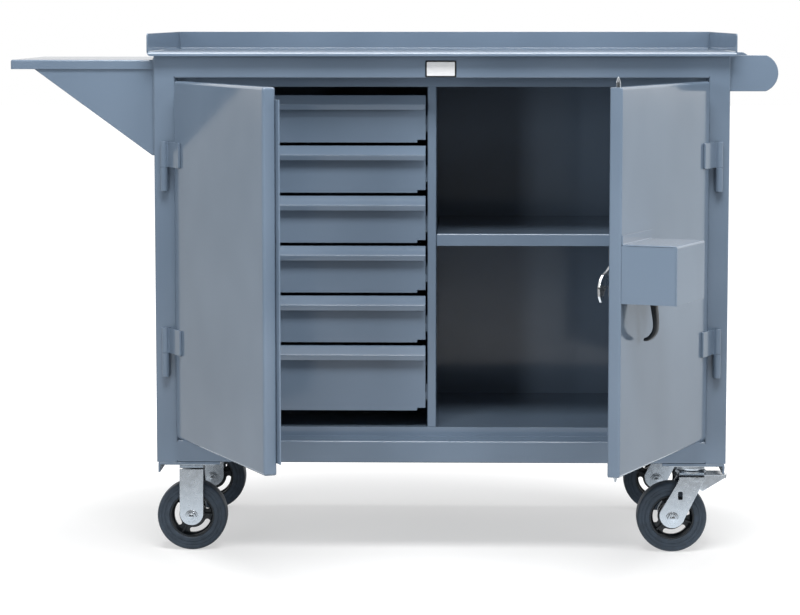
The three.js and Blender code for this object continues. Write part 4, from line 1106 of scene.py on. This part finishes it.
def makePedal(where):
    s = pedalSettings
    low, high = nodeBox(f"brake_pedal_{where}")
    y, half, reach = (low[1] + high[1]) / 2, s["half"], s["pinReach"]
    which = where.split("_")[0]
    x, z = jointPlace(f"{which}_brake_pedal")[[0, 2]]
    scale = (s["tread"], s["side"])
    tread = roundCorners(np.array(s["treadLine"]) * scale + (x, z), s["treadRounding"], 5, closed=False)
    cover = strapPart(tread[::-1], half, s["sheet"], s["edge"], frontView, y)
    cheek = roundCorners(np.array(s["cheek"]) * scale + (x, z), s["cheekRounding"], 5)
    inner, outer = half - s["sheet"], half - s["cheekSetIn"]
    cheeks = [platePart(cheek, y + start, y + end, frontView, s["edge"])
              for start, end in ((-outer, -inner), (inner, outer))]
    pinEnd = [(0, reach + s["headDome"]), (s["pinHead"], reach + s["headPlate"]), (s["pinHead"], reach),
              (s["pin"], reach)]
    pin = turnedPart(mirrored(pinEnd), "Y", (x, y, z), 32)
    makeFormed(f"brake_pedal_{where}", [cover, *cheeks, pin], f"pedal_{which}", "zinc")


for where in ("front_right", "rear_right"):
    makePedal(where)
print("casters and pedals made")

# Blank nameplate on the header: a dark frame with a pale foil inside it.
nameplateSettings = {"x0": -34.0, "x1": 32.0, "z0": 1025.0, "z1": 1061.0, "corner": 3.0, "plate": 0.9,
                     "back": 0.02, "edge": 0.3, "border": 3.4, "foilCorner": 1.5, "foil": 0.25,
                     "foilSunk": 0.2, "foilEdge": 0.08}


def makeNameplate():
    s = nameplateSettings
    b, face = s["border"], -s["plate"]
    outer = roundCorners(rectangle(s["x0"], s["z0"], s["x1"], s["z1"]), s["corner"])
    inner = roundCorners(rectangle(s["x0"] + b, s["z0"] + b, s["x1"] - b, s["z1"] - b), s["foilCorner"])
    plate = platePart(outer, face, -s["back"], frontView, s["edge"])
    foil = platePart(inner, face - s["foil"], face + s["foilSunk"], frontView, s["foilEdge"])
    makePiece("nameplate_frame", [plate], "cart", "cast_iron")
    makePiece("nameplate_foil", [foil], "cart", "bright_steel", material="foil")


makeNameplate()

# Studio: pale floor, soft lamps and the photograph's camera.

# Seen in reflections the floor glows with a painted reflection, tinted blue. The foot ramp is a painted
# highlight near the cart's feet, and the under ramp is painted shade where the floor lies under the cart.
# The floor is grey to the light that it throws back, dimmer still by the bounce, and near white to the eye.
# In reflections it is graded, since the photograph's doors mirror a floor that darkens towards the viewer:
# the brighter of the foot and far ramps, times the ramps for depth, side and what lies under the cart.
# A ramp is what it runs along, its two ends in metres from the frame's origin, and its strength at each.
floorSettings = {
    "half": 30.0, "colour": "#b8b8b8", "bounce": 0.65, "tint": "#ecf6ff", "cartMiddle": (0.0, 0.3, 0.0),
    "ramps": {
        "glow": ("outward", 0.8, 1.5, 0.52, 1.0), "foot": ("outward", 0.5, 1.2, 2.0, 0.3),
        "far": ("outward", 1.3, 6.0, 0.3, 0.62), "depth": ("backward", -0.95, -0.25, 0.12, 1.0),
        "side": ("sideways", -2.5, 2.5, 0.75, 1.2), "under": ("fromCart", 0.45, 0.9, 0.1, 1.0)},
}


def makeFloor():
    s = floorSettings
    h = s["half"]
    mesh = bpy.data.meshes.new("studio_floor")
    mesh.from_pydata([(-h, -h, 0), (h, -h, 0), (h, h, 0), (-h, h, 0)], [], [(0, 1, 2, 3)])
    floor = bpy.data.objects.new("studio_floor", mesh)
    bpy.context.scene.collection.objects.link(floor)
    material = bpy.data.materials.new("studio_paper")
    material.use_nodes = True
    tree = material.node_tree
    tree.nodes.clear()
    rays = addNode(tree, "ShaderNodeLightPath")
    eye, mirror = rays.outputs["Is Camera Ray"], rays.outputs["Is Glossy Ray"]

    coords = addNode(tree, "ShaderNodeTexCoord").outputs["Object"]
    spot = addNode(tree, "ShaderNodeSeparateXYZ", None, _0=coords)
    outward = addNode(tree, "ShaderNodeVectorMath", {"operation": "LENGTH"}, _0=coords)
    fromCart = addNode(tree, "ShaderNodeVectorMath", {"operation": "DISTANCE"}, _0=coords)
    fromCart.inputs[1].default_value = s["cartMiddle"]
    sources = {"outward": outward.outputs["Value"], "fromCart": fromCart.outputs["Value"],
               "sideways": spot.outputs["X"], "backward": spot.outputs["Y"]}
    ramps = {}
    for name, (along, start, end, first, last) in s["ramps"].items():
        settings = {"From Min": start, "From Max": end, "To Min": first, "To Max": last}
        ramps[name] = addNode(tree, "ShaderNodeMapRange", settings, Value=sources[along])
    ramps["glow"].interpolation_type = "SMOOTHSTEP"

    # Strength of the painted reflection: the painted highlight near the feet or the far ramp, dimmed towards
    # the viewer, to the left and by painted shade under the cart.
    paintedReflection = addNode(tree, "ShaderNodeMath", {"operation": "MAXIMUM"}, _0=ramps["foot"].outputs[0],
                   _1=ramps["far"].outputs[0])
    for name in ("depth", "under", "side"):
        paintedReflection = addNode(tree, "ShaderNodeMath", {"operation": "MULTIPLY"}, _0=paintedReflection.outputs[0],
                       _1=ramps[name].outputs[0])
    paintedReflectionGlow = addNode(tree, "ShaderNodeMath", {"operation": "MULTIPLY"}, _0=mirror, _1=paintedReflection.outputs[0])
    strength = addNode(tree, "ShaderNodeMath", {"operation": "MULTIPLY_ADD"}, _0=eye,
                       _1=ramps["glow"].outputs[0], _2=paintedReflectionGlow.outputs[0])
    tint = addNode(tree, "ShaderNodeMix", {"data_type": "RGBA"}, _0=mirror)
    tint.inputs[6].default_value = (1, 1, 1, 1)
    tint.inputs[7].default_value = srgb(s["tint"])
    light = addNode(tree, "ShaderNodeEmission", None, Strength=strength.outputs[0], Color=tint.outputs[2])

    dim = addNode(tree, "ShaderNodeMapRange", {"To Min": s["bounce"], "To Max": 1.0}, Value=eye)
    paper = addNode(tree, "ShaderNodeVectorMath", {"operation": "SCALE"}, Scale=dim.outputs[0])
    paper.inputs[0].default_value = srgb(s["colour"])[:3]
    diffuse = addNode(tree, "ShaderNodeBsdfDiffuse", None, Color=paper.outputs[0])
    whole = addNode(tree, "ShaderNodeAddShader", None, _0=diffuse.outputs[0], _1=light.outputs[0])
    addNode(tree, "ShaderNodeOutputMaterial", None, Surface=whole.outputs[0])
    mesh.materials.append(material)


makeFloor()

# The world is white to the eye. In reflections it is bright behind and above the cart, more so to its sides,
# and dark on the viewer's side. As plain fill light it is graded from front to back.
# A ramp is the part of the direction that it runs along (X without its sign), its ends and strengths there.
worldSettings = {"behind": ("Y", -0.6, 0.6, 0.06, 0.85), "above": ("Z", 0.45, 0.8, 0.0, 1.0),
                 "aside": ("X", 0.35, 0.8, 1.0, 1.7), "fill": ("Y", -0.2, 0.8, 0.18, 0.55)}


def makeWorld():
    world = bpy.data.worlds.new("studio_white")
    bpy.context.scene.world = world
    world.use_nodes = True
    tree = world.node_tree
    tree.nodes.clear()
    rays = addNode(tree, "ShaderNodeLightPath")
    coords = addNode(tree, "ShaderNodeTexCoord").outputs["Object"]
    heading = addNode(tree, "ShaderNodeSeparateXYZ", None, _0=coords)
    sideways = addNode(tree, "ShaderNodeMath", {"operation": "ABSOLUTE"}, _0=heading.outputs["X"])
    sources = {"X": sideways.outputs[0], "Y": heading.outputs["Y"], "Z": heading.outputs["Z"]}
    ramps = {}
    for name, (along, start, end, first, last) in worldSettings.items():
        settings = {"From Min": start, "From Max": end, "To Min": first, "To Max": last}
        ramps[name] = addNode(tree, "ShaderNodeMapRange", settings, Value=sources[along]).outputs[0]
    wide = addNode(tree, "ShaderNodeMath", {"operation": "MULTIPLY"}, _0=ramps["behind"], _1=ramps["aside"])
    shine = addNode(tree, "ShaderNodeMath", {"operation": "MAXIMUM"}, _0=wide.outputs[0], _1=ramps["above"])
    fillOrShine = addNode(tree, "ShaderNodeMix", {"data_type": "FLOAT"}, Factor=rays.outputs["Is Glossy Ray"],
                          A=ramps["fill"], B=shine.outputs[0])
    strength = addNode(tree, "ShaderNodeMath", {"operation": "MAXIMUM"}, _0=fillOrShine.outputs[0],
                       _1=rays.outputs["Is Camera Ray"])
    back = addNode(tree, "ShaderNodeBackground", {"Color": (1, 1, 1, 1)}, Strength=strength.outputs[0])
    addNode(tree, "ShaderNodeOutputWorld", None, Surface=back.outputs[0])


makeWorld()

# Each lamp: place and aim in metres from the frame's origin, sideways from the cabinet's middle, with its
# size and its power. Only the mirrored ones show in what shines.
lampSettings = {
    "mirrored": ["front_box", "top_box"],
    "lamps": {
        "front_box": {"at": (0.2, -3.2, 5.4), "aim": (0, 0.1, 0.6), "size": (3.6, 2.0), "power": 345},
        "left_box": {"at": (-3.3, -4.0, 1.9), "aim": (0, 0, 0.8), "size": (2.8, 2.4), "power": 66},
        "right_box": {"at": (4.4, -2.2, 2.6), "aim": (0, 0, 0.7), "size": (2.4, 2.4), "power": 75},
        "left_strip": {"at": (-1.6, -4.2, 0.95), "aim": (0, 0, 0.7), "size": (0.4, 1.8), "power": 30},
        "right_strip": {"at": (1.9, -4.2, 0.95), "aim": (0, 0, 0.7), "size": (0.4, 1.8), "power": 30},
        "top_box": {"at": (0.0, 0.6, 4.6), "aim": (0, 0.4, 0.9), "size": (2.6, 1.6), "power": 75},
    },
}


def makeLamps():
    middle = cartOrigin[0]
    for name, s in lampSettings["lamps"].items():
        data = bpy.data.lights.new(name, "AREA")
        data.shape = "RECTANGLE"
        data.size, data.size_y = s["size"]
        data.energy = s["power"]
        lamp = bpy.data.objects.new(name, data)
        place, aim = (Vector((x + middle, y, z)) for x, y, z in (s["at"], s["aim"]))
        facing = (aim - place).to_track_quat("-Z", "Y").to_matrix().to_4x4()
        lamp.matrix_world = Matrix.Translation(place) @ facing
        lamp.visible_camera = False
        lamp.visible_glossy = name in lampSettings["mirrored"]
        bpy.context.scene.collection.objects.link(lamp)


makeLamps()

# The photograph's camera, fitted to the cart's edges. Its place is from the foot of the cabinet's front.
cameraSettings = {"right": 0.05384, "back": 5.94177, "up": 1.15567, "pitchDown": 5.95, "yawLeft": 1.36,
                  "focalPixels": 2803.44, "imageWidth": 800, "sensorMm": 36.0, "seesTo": 200}


def makeCamera():
    s = cameraSettings
    data = bpy.data.cameras.new("photo_camera")
    data.sensor_width = s["sensorMm"]
    data.lens = s["focalPixels"] / s["imageWidth"] * s["sensorMm"]
    data.clip_end = s["seesTo"]
    camera = bpy.data.objects.new("photo_camera", data)
    camera.location = (cartOrigin[0] + s["right"], cartOrigin[1] - s["back"], s["up"])
    camera.rotation_euler = (math.radians(90 - s["pitchDown"]), 0, math.radians(s["yawLeft"]))
    bpy.context.scene.collection.objects.link(camera)
    bpy.context.scene.camera = camera


makeCamera()
bpy.context.scene.view_settings.view_transform = "Standard"
print("studio ready")
